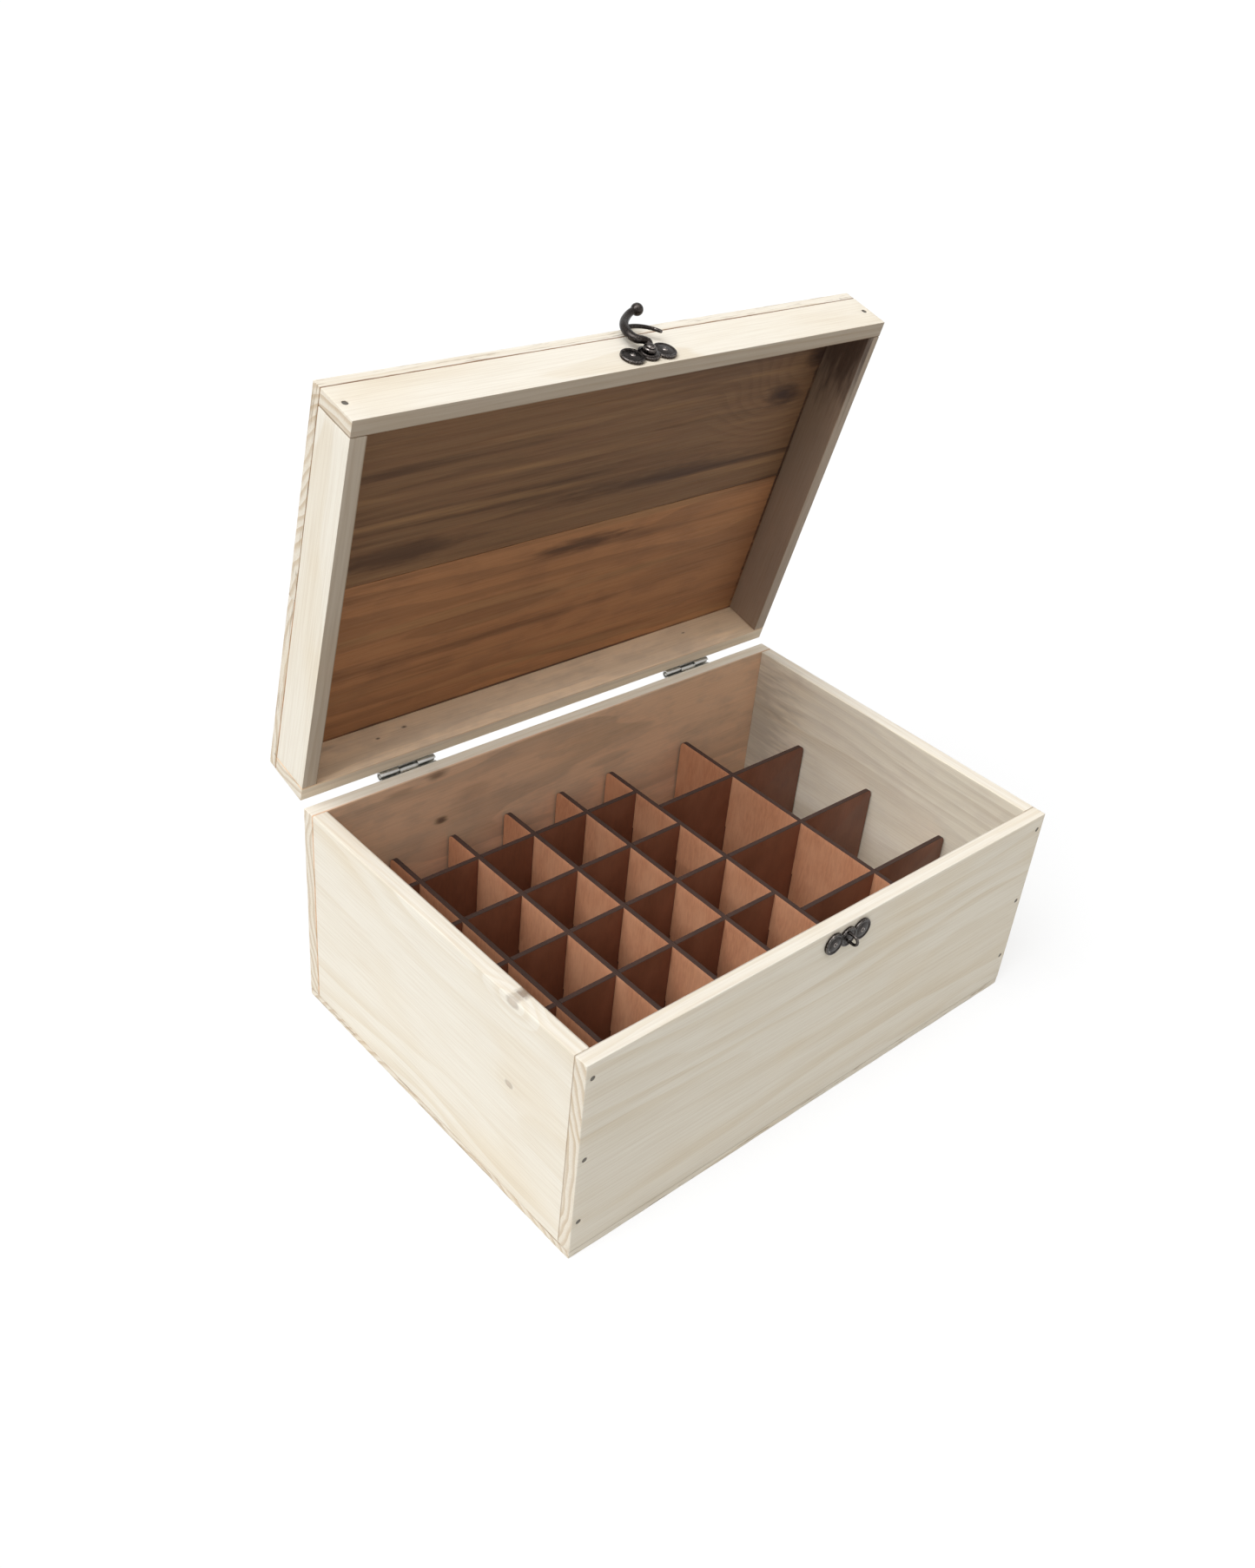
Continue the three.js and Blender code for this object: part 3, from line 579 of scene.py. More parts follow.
def antique_bronze():
    """Die-cast zinc with a blackened bronze plating: dark, half glossy, and worn to bare brown
    metal on its ridges. The pale colour on the ridges is partly that wear and partly painted
    highlight."""
    colours = bpy.context.scene.art_box_colours
    material, node = new_material("antique_bronze_plating")
    # Casting grit 0.7 mm across
    grit = node("TexNoise", {"Vector": node("Mapping", {
        "Vector": node("TexCoord", output="Object"), "Scale": (1400, 1400, 1400)}),
        "Scale": 1, "Detail": 4, "Roughness": 0.6})
    # The sharpest ridges take the pale worn colour: partly real wear, partly painted highlight
    ridge = node("NewGeometry", output="Pointiness")
    ridge_wear_and_highlight = node("Math", {
        0: node("MapRange", {0: ridge, 1: 0.505, 2: 0.56}, **SOFT),
        1: node("MapRange", {0: grit, 1: 0.35, 2: 0.6}, **SOFT)}, **TIMES)
    spotted = node("MapRange", {0: grit, 1: 0.4, 2: 0.7, 4: 0.5}, **SOFT)
    colour = node("Mix", {0: spotted, 6: [*colours.bronze, 1], 7: linear("#4d4641")}, 2, **TINT)
    colour = node("Mix", {0: ridge_wear_and_highlight, 6: colour, 7: [*colours.bronze_worn_highlight, 1]}, 2, **TINT)
    bump = node("Bump", {"Height": grit, "Strength": 0.5, "Distance": 0.06 * MM})
    gloss = node("MapRange", {0: grit, 1: 0.3, 2: 0.7, 3: 0.2, 4: 0.38}, **SOFT)
    surface = node("BsdfPrincipled", {
        "Base Color": colour, "Metallic": 1, "Roughness": gloss, "Normal": bump})
    node("OutputMaterial", {"Surface": surface})
    return material


def plated_steel(name, colour, low=0.26, high=0.42):
    """Pressed steel with bright zinc plating: pale grey, finely brushed, with dull specks."""
    material, node = new_material(name)
    at = node("Mapping", {"Vector": node("TexCoord", output="Object"),
                          "Scale": (1000, 1000, 1000)})
    # Brush marks 0.3 mm apart, and dull specks 2 mm across
    brushed = node("TexNoise", {"Vector": node("Mapping", {"Vector": at, "Scale": (0.15, 3, 3)}),
                                "Scale": 1, "Detail": 2})
    speck = node("TexNoise", {"Vector": at, "Scale": 0.5, "Detail": 4, "Roughness": 0.7})
    dull = node("MapRange", {0: speck, 1: 0.45, 2: 0.75, 4: 0.5}, **SOFT)
    tint = node("Mix", {0: dull, 6: [*colour, 1], 7: linear("#6f6c66")}, 2, **TINT)
    bump = node("Bump", {"Height": brushed, "Strength": 0.4, "Distance": 0.03 * MM})
    gloss = node("MapRange", {0: brushed, 1: 0.3, 2: 0.7, 3: low, 4: high}, **SOFT)
    surface = node("BsdfPrincipled", {
        "Base Color": tint, "Metallic": 1, "Roughness": gloss, "Normal": bump})
    node("OutputMaterial", {"Surface": surface})
    return material


# ---------------------------------------------------------------------------------------------
# Boards


NAIL_SINK = 0.3 * MM
NAIL_ROOM = 0.15 * MM
LID_MIDDLE = -120 * MM
EDGE_WEAR = 60  # waves per metre of uneven sanding
SAW_WAVES = (220, 45)  # waves per metre of the sawn edges, fine and broad


def board_mesh(size, ease, step, sawn, seed):
    """A planed board about its own centre, with unevenly sanded edges and rough sawn sides."""
    half = [value / 2 for value in size]
    lines = []
    for extent in half:
        count = max(1, round((2 * extent - 2 * ease) / step))
        inner = [-extent + ease + (2 * extent - 2 * ease) * i / count for i in range(count + 1)]
        turn = ease * (1 - math.tan(math.pi / 8))
        lines.append([-extent, -extent + turn, *inner, extent - turn, extent])
    shape = bmesh.new()
    verts = {}

    def vertex(index):
        if index not in verts:
            sharp = Vector([lines[i][index[i]] for i in range(3)])
            core = Vector([min(max(sharp[i], ease - half[i]), half[i] - ease) for i in range(3)])
            out = sharp - core
            turning = sum(abs(value) > 1e-9 for value in out) > 1
            direction = out.normalized()
            point = core + direction * ease
            if turning:
                worn = 0.5 + 0.5 * noise.noise(sharp * EDGE_WEAR + Vector((seed, 2.7 * seed, 0)))
                point = point.lerp(sharp, 0.75 * (1 - worn) ** 1.5)
            if sawn and abs(direction.z) < 0.8:
                rough = noise.noise(sharp * SAW_WAVES[0] + Vector((seed, 0, 0)))
                rough += noise.noise(sharp * SAW_WAVES[1] + Vector((0, seed, 0)))
                depth = sawn * min(1, max(0, 0.5 + 0.6 * rough))
                point -= Vector((direction.x, direction.y, 0)) * depth
            verts[index] = shape.verts.new(point)
        return verts[index]

    for axis in range(3):
        u, v = (axis + 1) % 3, (axis + 2) % 3
        for level in (0, len(lines[axis]) - 1):
            for i in range(len(lines[u]) - 1):
                for j in range(len(lines[v]) - 1):
                    corners = []
                    for a, b in ((i, j), (i + 1, j), (i + 1, j + 1), (i, j + 1)):
                        index = [0, 0, 0]
                        index[axis], index[u], index[v] = level, a, b
                        corners.append(vertex(tuple(index)))
                    shape.faces.new(corners)
    return mesh_of(shape)


def board_frame(low, high, along, outward, space):
    """The board's own frame and its size along, across and through."""
    across = outward.cross(along)
    size = [abs((high - low).dot(axis)) for axis in (along, across, outward)]
    return space @ axes(along, across, outward, (low + high) / 2), size


def pocket(radius, sink):
    """The hole that a nail head is driven into, with its crushed lip."""
    return turned([(0, -3 * MM), (radius, -3 * MM), (radius, -sink * 0.5),
                   (radius + 0.25 * MM, -0.08 * MM), (radius + 0.9 * MM, 0.06 * MM),
                   (radius + 0.9 * MM, 1 * MM), (0, 1 * MM)], 28)


def make_board(name, node, body, along, outward, figure, space=CASE, seams=(), rough=False,
               holes=(), strips=({},), **grain):
    """A board in place of its frame node. Seams split it across into glued strips, and `figure`
    picks its grain."""
    sizes = bpy.context.scene.art_box_sizes
    low, high = span(node, space)
    if node == "lid_board":
        # The lid's board is glued down, so its joint shows only as a hairline
        low.z -= sizes.glue_line
    place, size = board_frame(low, high, along, outward, space)
    seed = sizes.seed + figure * 1.37
    ease = sizes.edge_ease if body == "case" else sizes.lid_ease
    depth = sizes.saw_depth if rough else 0
    stops = [-size[1] / 2, *seams, size[1] / 2]
    lengths = []
    for start, end in zip(stops, stops[1:]):
        strip = board_mesh([size[0], end - start, size[2]], ease, sizes.board_step, depth,
                           seed + start * 100)
        lengths.append(moved(strip, Matrix.Translation((0, (start + end) / 2, 0))))
    mesh = joined(lengths)
    if holes:
        cutters = []
        for centre, direction, radius, sink in holes:
            turn = direction.to_track_quat("Z", "Y").to_matrix().to_4x4()
            world = Matrix.Translation(centre) @ turn
            cutters.append(moved(pocket(radius, sink), place.inverted() @ world))
        mesh = cut(mesh, joined(cutters))
    materials = []
    for i, own in enumerate(strips):
        label = f"pine_{name}_{i + 1}" if len(strips) > 1 else f"pine_{name}"
        materials.append(softwood(label, [value / MM for value in size], seed + 11 * i,
                                  **{**grain, **own}))
    piece(name, shaded(mesh), body, materials, [node], place)
    for polygon in mesh.polygons:
        polygon.material_index = sum(polygon.center.y > seam for seam in seams)


def head_seats(prefix, body, space=CASE):
    """Name, body, surface point, direction and radius of the nail heads whose nodes start with
    prefix. They face the front or the back."""
    seats = []
    for name in frame["nodes"]:
        if not name.startswith(prefix):
            continue
        low, high = span(name, space)
        middle = (low + high) / 2
        front = middle.y < 0 if space is CASE else middle.y < LID_MIDDLE
        outward = -Y if front else Y
        surface = Vector((middle.x, low.y if front else high.y, middle.z))
        seats.append((name, body, space @ surface, space.to_3x3() @ outward,
                      (high.x - low.x) / 2))
    return seats


def nail_holes(seats):
    """Pockets for nail heads, which lie just under the surface of the board."""
    return [(surface + outward * NAIL_SINK, outward, radius + NAIL_ROOM, NAIL_SINK)
            for name, body, surface, outward, radius in seats]


class ARTBOX_OT_case_boards(bpy.types.Operator):
    """The five boards of the case"""

    bl_idname = "art_box.case_boards"
    bl_label = "Case boards"

    def execute(self, context):
        front = nail_holes(head_seats("nail_front", "case"))
        back = nail_holes(head_seats("nail_back", "case"))
        make_board("base", "base_board", "case", X, -Z, 1, rough=True, inner=0.2,
                   pith=(20.0, 150.0), sawn=0.6)
        make_board("front", "front_panel", "case", X, -Y, 2, holes=front, inner=0.45,
                   pith=(-18.0, -175.0))
        # Its tan brown and high inner amount are partly painted warm shade on the back wall's
        # inner face
        make_board("back", "back_panel", "case", -X, Y, 3, holes=back, inner=0.7,
                   pith=(24.0, -164.0), brown="#ecb584",
                   stains=((92.0, 28.0, 6.0, 3.5, 0.8), (95.6, 61.0, 10.0, 3.5, 0.6),
                           (120.0, 58.0, 14.0, 3.0, 0.3), (70.0, 40.0, 20.0, 7.0, 0.2)))
        make_board("left", "left_panel", "case", -Y, -X, 4, inner=0.5, pith=(10.0, -190.0),
                   knots=((66.0, 9.0, 2.2), (65.0, 62.0, 3.2)))
        # The large stain at the back end of the right panel is painted shadow of the open lid on
        # the inner wall
        make_board("right", "right_panel", "case", Y, X, 5, inner=0.25,
                   pith=(-30.0, -180.0), brown="#fff0c4",
                   stains=((108.0, 10.0, 50.0, 70.0, 0.4),))
        return {"FINISHED"}


class ARTBOX_OT_lid_boards(bpy.types.Operator):
    """The lid's board and its four rails"""

    bl_idname = "art_box.lid_boards"
    bl_label = "Lid boards"

    def execute(self, context):
        holes = nail_holes(head_seats("nail_lid", "lid", LID))
        make_board("lid_top", "lid_board", "lid", X, Z, 6, LID, rough=True, seams=(2.1 * MM,),
                   inner=1.0, sawn=0.5, pith=(30.0, -144.0), strips=[
                       {"streaks": 0.65, "brown": "#8a6849",
                        "knots": ((142.0, -61.0, 8.0), (164.0, -84.0, 8.0))},
                       {"streaks": 0.35, "pith": (60.0, -170.0), "brown": "#bb855a"}],
                   stains=((142.0, -61.0, 20.0, 9.0, 1.0), (164.0, -84.0, 14.0, 12.0, 1.0),
                           (12.0, 15.0, 48.0, 7.0, 0.75), (60.0, -22.0, 110.0, 7.0, 0.55),
                           (-120.0, -12.0, 70.0, 9.0, 0.7), (-40.0, 66.0, 120.0, 4.0, 0.4),
                           (95.0, -85.0, 90.0, 32.0, 0.3), (30.0, -30.0, 90.0, 16.0, 0.25),
                           # The last two are thin painted shadow lines where the board meets the
                           # back and the right rail
                           (0.0, 110.5, 260.0, 1.5, 0.9), (165.0, 0.0, 1.6, 150.0, 0.9)))
        # The rails' rim amounts paint shade on their open rims, and their inner amounts partly
        # paint warm shade inside the lid
        make_board("lid_front", "lid_front_rail", "lid", X, -Y, 7, LID, holes=holes, inner=0.8,
                   rim=0.55, pith=(-10.0, -150.0))
        # Its pale tan brown and inner amount are partly painted warm shade on the rail's inner
        # face
        make_board("lid_back", "lid_back_rail", "lid", -X, Y, 8, LID, inner=0.6,
                   rim=0.2, pith=(12.0, -158.0), brown="#ffd6a6",
                   stains=((117.9, 3.0, 2.0, 1.0, 0.8), (99.4, 5.0, 2.4, 1.2, 0.8),
                           (-116.2, 4.6, 2.2, 1.0, 0.7)))
        make_board("lid_left", "lid_left_rail", "lid", -Y, -X, 9, LID, inner=0.8,
                   rim=0.5, pith=(8.0, -148.0))
        # The right rail's dark brown and its large stain are painted shade inside the lid
        make_board("lid_right", "lid_right_rail", "lid", Y, X, 10, LID, inner=0.8,
                   rim=0.6, pith=(-14.0, -162.0), brown="#7a5636",
                   stains=((-100.0, 0.0, 50.0, 40.0, 0.85),))
        return {"FINISHED"}


# ---------------------------------------------------------------------------------------------
# Dividers


CORNER = 4 * MM
SLOT_FIT = 0.2 * MM
TENON = 26 * MM
END_ZONE = 2 * MM  # a divider that stops this near another one ends at it
PARTITION = "divider_column_5"  # stands between the small cells and the large ones
THROUGH_ROW = "divider_row_3"  # the one row that crosses it


def meetings(box, others, run):
    """Spans along a divider where others cross it, in order, and where they end at it."""
    low, high = box
    here = (low[1 - run] + high[1 - run]) / 2
    crossed, ended = [], []
    for other_low, other_high in others:
        along = (other_low[run] + other_high[run]) / 2
        half = (other_high[run] - other_low[run]) / 2 + SLOT_FIT
        start, end = other_low[1 - run], other_high[1 - run]
        inside = low[run] + END_ZONE < along < high[run] - END_ZONE
        if inside and start + END_ZONE < here < end - END_ZONE:
            crossed.append((along - half, along + half))
        elif start - END_ZONE < here < end + END_ZONE:
            ended.append((along - half, along + half))
    return sorted(crossed), ended


def divider_outline(box, run, below=(), above=(), tenon=0, shoulder=0.0):
    """A divider's rim, as points along it and up. Slots come from below or above to just past
    its middle, top corners are round, and a tenon stands past a shoulder at its start (-1) or
    its end (1)."""
    start, end = box[0][run], box[1][run]
    bottom, top = box[0].z, box[1].z
    middle = (bottom + top) / 2
    tenon_low, tenon_high = middle - TENON / 2, middle + TENON / 2
    left = shoulder if tenon < 0 else start
    right = shoulder if tenon > 0 else end
    points = [(start, tenon_low), (left, tenon_low)] if tenon < 0 else []
    points.append((left, bottom))
    for near, far in below:
        points += [(near, bottom), (near, middle + SLOT_FIT), (far, middle + SLOT_FIT),
                   (far, bottom)]
    points.append((right, bottom))
    if tenon > 0:
        points += [(right, tenon_low), (end, tenon_low), (end, tenon_high), (right, tenon_high),
                   (right, top)]
    else:
        points += arc((right - CORNER, top - CORNER), CORNER, 0, 90, 8)
    for near, far in reversed(above):
        points += [(far, top), (far, middle - SLOT_FIT), (near, middle - SLOT_FIT), (near, top)]
    if tenon < 0:
        return points + [(left, top), (left, tenon_high), (start, tenon_high)]
    return points + arc((left + CORNER, top - CORNER), CORNER, 90, 180, 8)


class ARTBOX_OT_dividers(bpy.types.Operator):
    """The slotted dividers, half lapped where they cross"""

    bl_idname = "art_box.dividers"
    bl_label = "Dividers"

    def execute(self, context):
        materials = [hardboard("hardboard_smooth_shaded_side", "smooth"),
                     hardboard("hardboard_rough_side", "rough"),
                     hardboard("hardboard_charred_edge", "edge")]
        columns, rows = [
            {name: span(name) for name in frame["nodes"] if name.startswith(start)}
            for start in ("divider_column", "divider_row")]
        for name, box in columns.items():
            crossed, ended = meetings(box, rows.values(), 1)
            rims = [divider_outline(box, 1, below=crossed)]
            if name == PARTITION:
                middle = (box[0].z + box[1].z) / 2
                rise = TENON / 2 + SLOT_FIT
                rims += [[(near, middle - rise), (far, middle - rise), (far, middle + rise),
                          (near, middle + rise)] for near, far in ended]
            self.divider(name, box, Y, rims, materials)

        left, right = (corner.x for corner in columns[PARTITION])
        for name, box in rows.items():
            tenon = -1 if "large" in name else 0 if name == THROUGH_ROW else 1
            shoulder = (left + right) / 2 - tenon * ((right - left) / 2 + SLOT_FIT)
            crossed = meetings(box, columns.values(), 0)[0]
            rim = divider_outline(box, 0, above=crossed, tenon=tenon, shoulder=shoulder)
            self.divider(name, box, X, [rim], materials)
        return {"FINISHED"}

    @staticmethod
    def divider(name, box, along, rims, materials):
        """A sheet cut to its rim and stood on edge, its smooth side to the right or the front. The
        smooth side's darker colour is partly painted shade, as those faces stand away from the
        light.
        """
        low, high = box
        smooth_side = along.cross(Z)
        mesh = slab(rims, abs(smooth_side.dot(high - low)),
                    bpy.context.scene.art_box_sizes.divider_bevel)
        moved(mesh, axes(along, Z, smooth_side,
                         smooth_side * smooth_side.dot((low + high) / 2)))
        piece(name.replace("divider", "hardboard"), shaded(mesh), "case", materials,
              [name])
        # Faces turned the smooth way get the darker material, partly painted shade
        for polygon in mesh.polygons:
            facing = polygon.normal.dot(smooth_side)
            polygon.material_index = 0 if facing > 0.98 else 1 if facing < -0.98 else 2


# ---------------------------------------------------------------------------------------------
# Fittings


LEAF = 1 * MM
LEAF_DROP = 13.5 * MM
LEAF_CORNER = 2 * MM
KNUCKLE = 2.7 * MM
KNUCKLE_GAP = 0.4 * MM
SCREW_HOLE = 1.5 * MM
SCREW_SHANK = 1.1 * MM
SCREW_HEAD = 1.15 * MM
SCREW_SLOT = 0.56 * MM


def screw_mesh(radius, length):
    """A round-headed slotted screw along +Z, its head's underside at 0."""
    mesh = turned([(0, -length), (SCREW_SHANK, -length + 2 * MM), (SCREW_SHANK, -0.3 * MM),
                   (radius * 0.96, 0), *dome(radius, SCREW_HEAD, 6, 0.12 * MM)], 32)
    slot = block((-2 * radius, -SCREW_SLOT / 2, SCREW_HEAD * 0.5),
                 (2 * radius, SCREW_SLOT / 2, SCREW_HEAD * 3))
    return cut(mesh, slot)


def leaf_outline(width, spans):
    """A leaf's rim, cut away round the other leaf's knuckles. Y 0 is the hinge axis."""
    rim = arc((-width / 2 + LEAF_CORNER, -LEAF_DROP + LEAF_CORNER), LEAF_CORNER, 180, 270, 5)
    rim += arc((width / 2 - LEAF_CORNER, -LEAF_DROP + LEAF_CORNER), LEAF_CORNER, 270, 360, 5)
    top, clear = -KNUCKLE_GAP, -(KNUCKLE + KNUCKLE_GAP)
    if len(spans) == 1:
        low, high = spans[0]
        return rim + [(width / 2, clear), (high, clear), (high, top), (low, top), (low, clear),
                      (-width / 2, clear)]
    (first, second), (third, fourth) = spans
    return rim + [(fourth, top), (third, top), (third, clear), (second, clear), (second, top),
                  (first, top)]


class ARTBOX_OT_hinges(bpy.types.Operator):
    """Two pressed steel hinges with their pins and screws"""

    bl_idname = "art_box.hinges"
    bl_label = "Hinges"

    def execute(self, context):
        colours = context.scene.art_box_colours
        steel = plated_steel("zinc_plated_steel", colours.steel)
        screws = plated_steel("screw_steel", colours.steel, 0.3, 0.5)
        turns = random.Random(context.scene.art_box_sizes.seed)
        for end in ("left", "right"):
            low, high = span(f"hinge_{end}_leaf_lower")
            centre, width = (low.x + high.x) / 2, high.x - low.x
            knuckle = (width - 2 * KNUCKLE_GAP) / 3
            outer = [(-width / 2, -width / 2 + knuckle), (width / 2 - knuckle, width / 2)]
            inner = [(-knuckle / 2, knuckle / 2)]
            axis = Vector(JOINTS["lid_hinge"]["pos_m"])
            for side, body, space, origin, up, spans in (
                    ("lower", "case", CASE, Vector((centre, axis.y, axis.z)), 1, outer),
                    ("upper", "lid", LID, Vector((centre, 0, 0)), -1, inner)):
                self.leaf(end, side, body, space, origin, up, spans, width, steel)
                for which in ("left", "right"):
                    self.screw(f"hinge_{end}_screw_{side}_{which}", body, space,
                               turns.uniform(0, math.pi), screws)
            node = f"hinge_{end}_pin"
            low, high = span(node)
            radius, length = (high.z - low.z) / 2, high.x - low.x
            ease = 0.3 * MM
            mesh = turned([(0, -length / 2), (radius * 0.7, -length / 2),
                           (radius, ease - length / 2), (radius, length / 2 - ease),
                           (radius * 0.7, length / 2), (0, length / 2)], 24)
            moved(mesh, Matrix.Rotation(math.pi / 2, 4, "Y"))
            piece(f"steel_{node}", shaded(mesh), "case", [screws], [node],
                  Matrix.Translation((low + high) / 2))
        return {"FINISHED"}

    @staticmethod
    def leaf(end, side, body, space, origin, up, spans, width, steel):
        """A leaf against the wood, with its knuckles rolled round the pin."""
        holes = []
        for which in ("left", "right"):
            low, high = span(f"hinge_{end}_screw_{side}_{which}", space)
            middle = (low + high) / 2 - origin
            holes.append(arc((middle.x, -abs(middle.z)), SCREW_HOLE, 0, 360, 24)[:-1])
        wood = -(KNUCKLE + KNUCKLE_GAP) + 0.05 * MM
        flat = slab([leaf_outline(width, spans), *holes], LEAF, 0.18 * MM)
        moved(flat, axes(X, up * Z, Y, (wood + LEAF / 2) * Y))
        parts = [flat]
        for low, high in spans:
            ring = arc((0, 0), KNUCKLE, 200, 505, 22) + arc((0, 0), KNUCKLE - LEAF, 505, 200, 22)
            roll = slab([ring], high - low, 0.12 * MM)
            parts.append(moved(roll, axes(Y, up * Z, X, (low + high) / 2 * X)))
        piece(f"hinge_{end}_{side}", shaded(joined(parts)), body, [steel],
              [f"hinge_{end}_leaf_{side}"], space @ Matrix.Translation(origin))

    @staticmethod
    def screw(node, body, space, turn, steel):
        low, high = span(node, space)
        middle = (low + high) / 2
        seat = Vector((middle.x, high.y - 1.35 * MM, middle.z))
        mesh = screw_mesh((high.x - low.x) / 2, seat.y - low.y)
        moved(mesh, Matrix.Rotation(-math.pi / 2, 4, "X") @ Matrix.Rotation(turn, 4, "Z"))
        piece(node.replace("hinge", "steel"), shaded(mesh), body, [steel], [node],
              space @ Matrix.Translation(seat))


# Turns a fitting that is drawn flat, +Z out of the wood, to face the front
WOOD_FACE = axes(X, Z, -Y)

PLATE = 1.9 * MM
WAIST = 6 * MM
LIP = 0.35 * MM  # how far the rims of the lobes stand up
HOOK_HEIGHT = 5.4 * MM
PRONG = 1.25 * MM
PRONG_REACH = 18  # mm from the pivot, where the prong and the staple meet
HOOK_BALL = 3.4 * MM
EYE_BACK = 2.8 * MM
STAPLE_BEND = 2.65 * MM
STAPLE_ROD = 0.85 * MM


def cast(parts, cell):
    """Parts run together as one casting with soft edges."""
    return worked(joined(parts), ("REMESH", {"mode": "VOXEL", "voxel_size": cell}),
                  ("SMOOTH", {"factor": 0.5, "iterations": 4}),
                  ("DECIMATE", {"ratio": 0.4}))


def latch_plate(node, space):
    """Centre of a three-lobed plate on the wood, and its parts: domed lobes with raised rims."""
    low, high = span(node, space)
    lobe = (high.z - low.z) / 2
    reach = (high.x - low.x) / 2 - lobe
    centre = Vector(((low.x + high.x) / 2, high.y + 0.3 * MM, (low.z + high.z) / 2))
    parts = []
    for x, radius in ((-reach, lobe), (0, WAIST), (reach, lobe)):
        parts.append(moved(turned([
            (0, 0.05 * MM), (radius - 0.15 * MM, 0.05 * MM), (radius, 0.3 * MM),
            (radius, PLATE - LIP), (radius - LIP, PLATE),
            (radius - 1.2 * MM, PLATE), (radius - 1.7 * MM, PLATE - LIP),
            (radius * 0.45, PLATE - 0.05 * MM), (0, PLATE + 0.1 * MM)], 48),
            Matrix.Translation((x, 0, 0))))
    return Matrix.Translation(centre) @ WOOD_FACE, parts


def latch_pins(nodes, body, space, material):
    """Small domed pins that hold a latch plate."""
    for node in nodes:
        low, high = span(node, space)
        head = (high.x - low.x) / 2
        middle = (low + high) / 2
        seat = Vector((middle.x, low.y + 0.9 * MM, middle.z))
        length = high.y - seat.y
        mesh = turned([(0, -length), (0.7 * MM, MM - length), (0.7 * MM, 0), (head, 0),
                       *dome(head, 0.9 * MM, 6, 0.1 * MM)], 28)
        piece("bronze_" + node, shaded(moved(mesh, WOOD_FACE)), body, [material],
              [node], space @ Matrix.Translation(seat))


class ARTBOX_OT_catch(bpy.types.Operator):
    """The latch's keeper on the case: a lobed plate with a staple, and two pins"""

    bl_idname = "art_box.catch"
    bl_label = "Latch keeper"

    def execute(self, context):
        bronze = antique_bronze()
        place, parts = latch_plate("catch_plate", CASE)
        rise = HOOK_HEIGHT - 0.3 * MM
        foot = [(STAPLE_BEND, rise * 0.5), (STAPLE_BEND, 0.4 * MM)]
        bend = arc((0, rise), STAPLE_BEND, 180, 0, 14)
        staple = [(-y, z) for y, z in reversed(foot)] + bend + foot
        swell = [1.3, 1.05] + [1] * len(bend) + [1.05, 1.3]
        parts.append(tube([Vector((0, y, z)) for y, z in staple],
                          [STAPLE_ROD * share for share in swell], 20))
        mesh = cast(parts, context.scene.art_box_sizes.cast_detail)
        piece("keeper_plate", shaded(mesh, 60), "case", [bronze], ["catch_plate"],
              place)
        latch_pins(("catch_pin_left", "catch_pin_right"), "case", CASE, bronze)
        return {"FINISHED"}


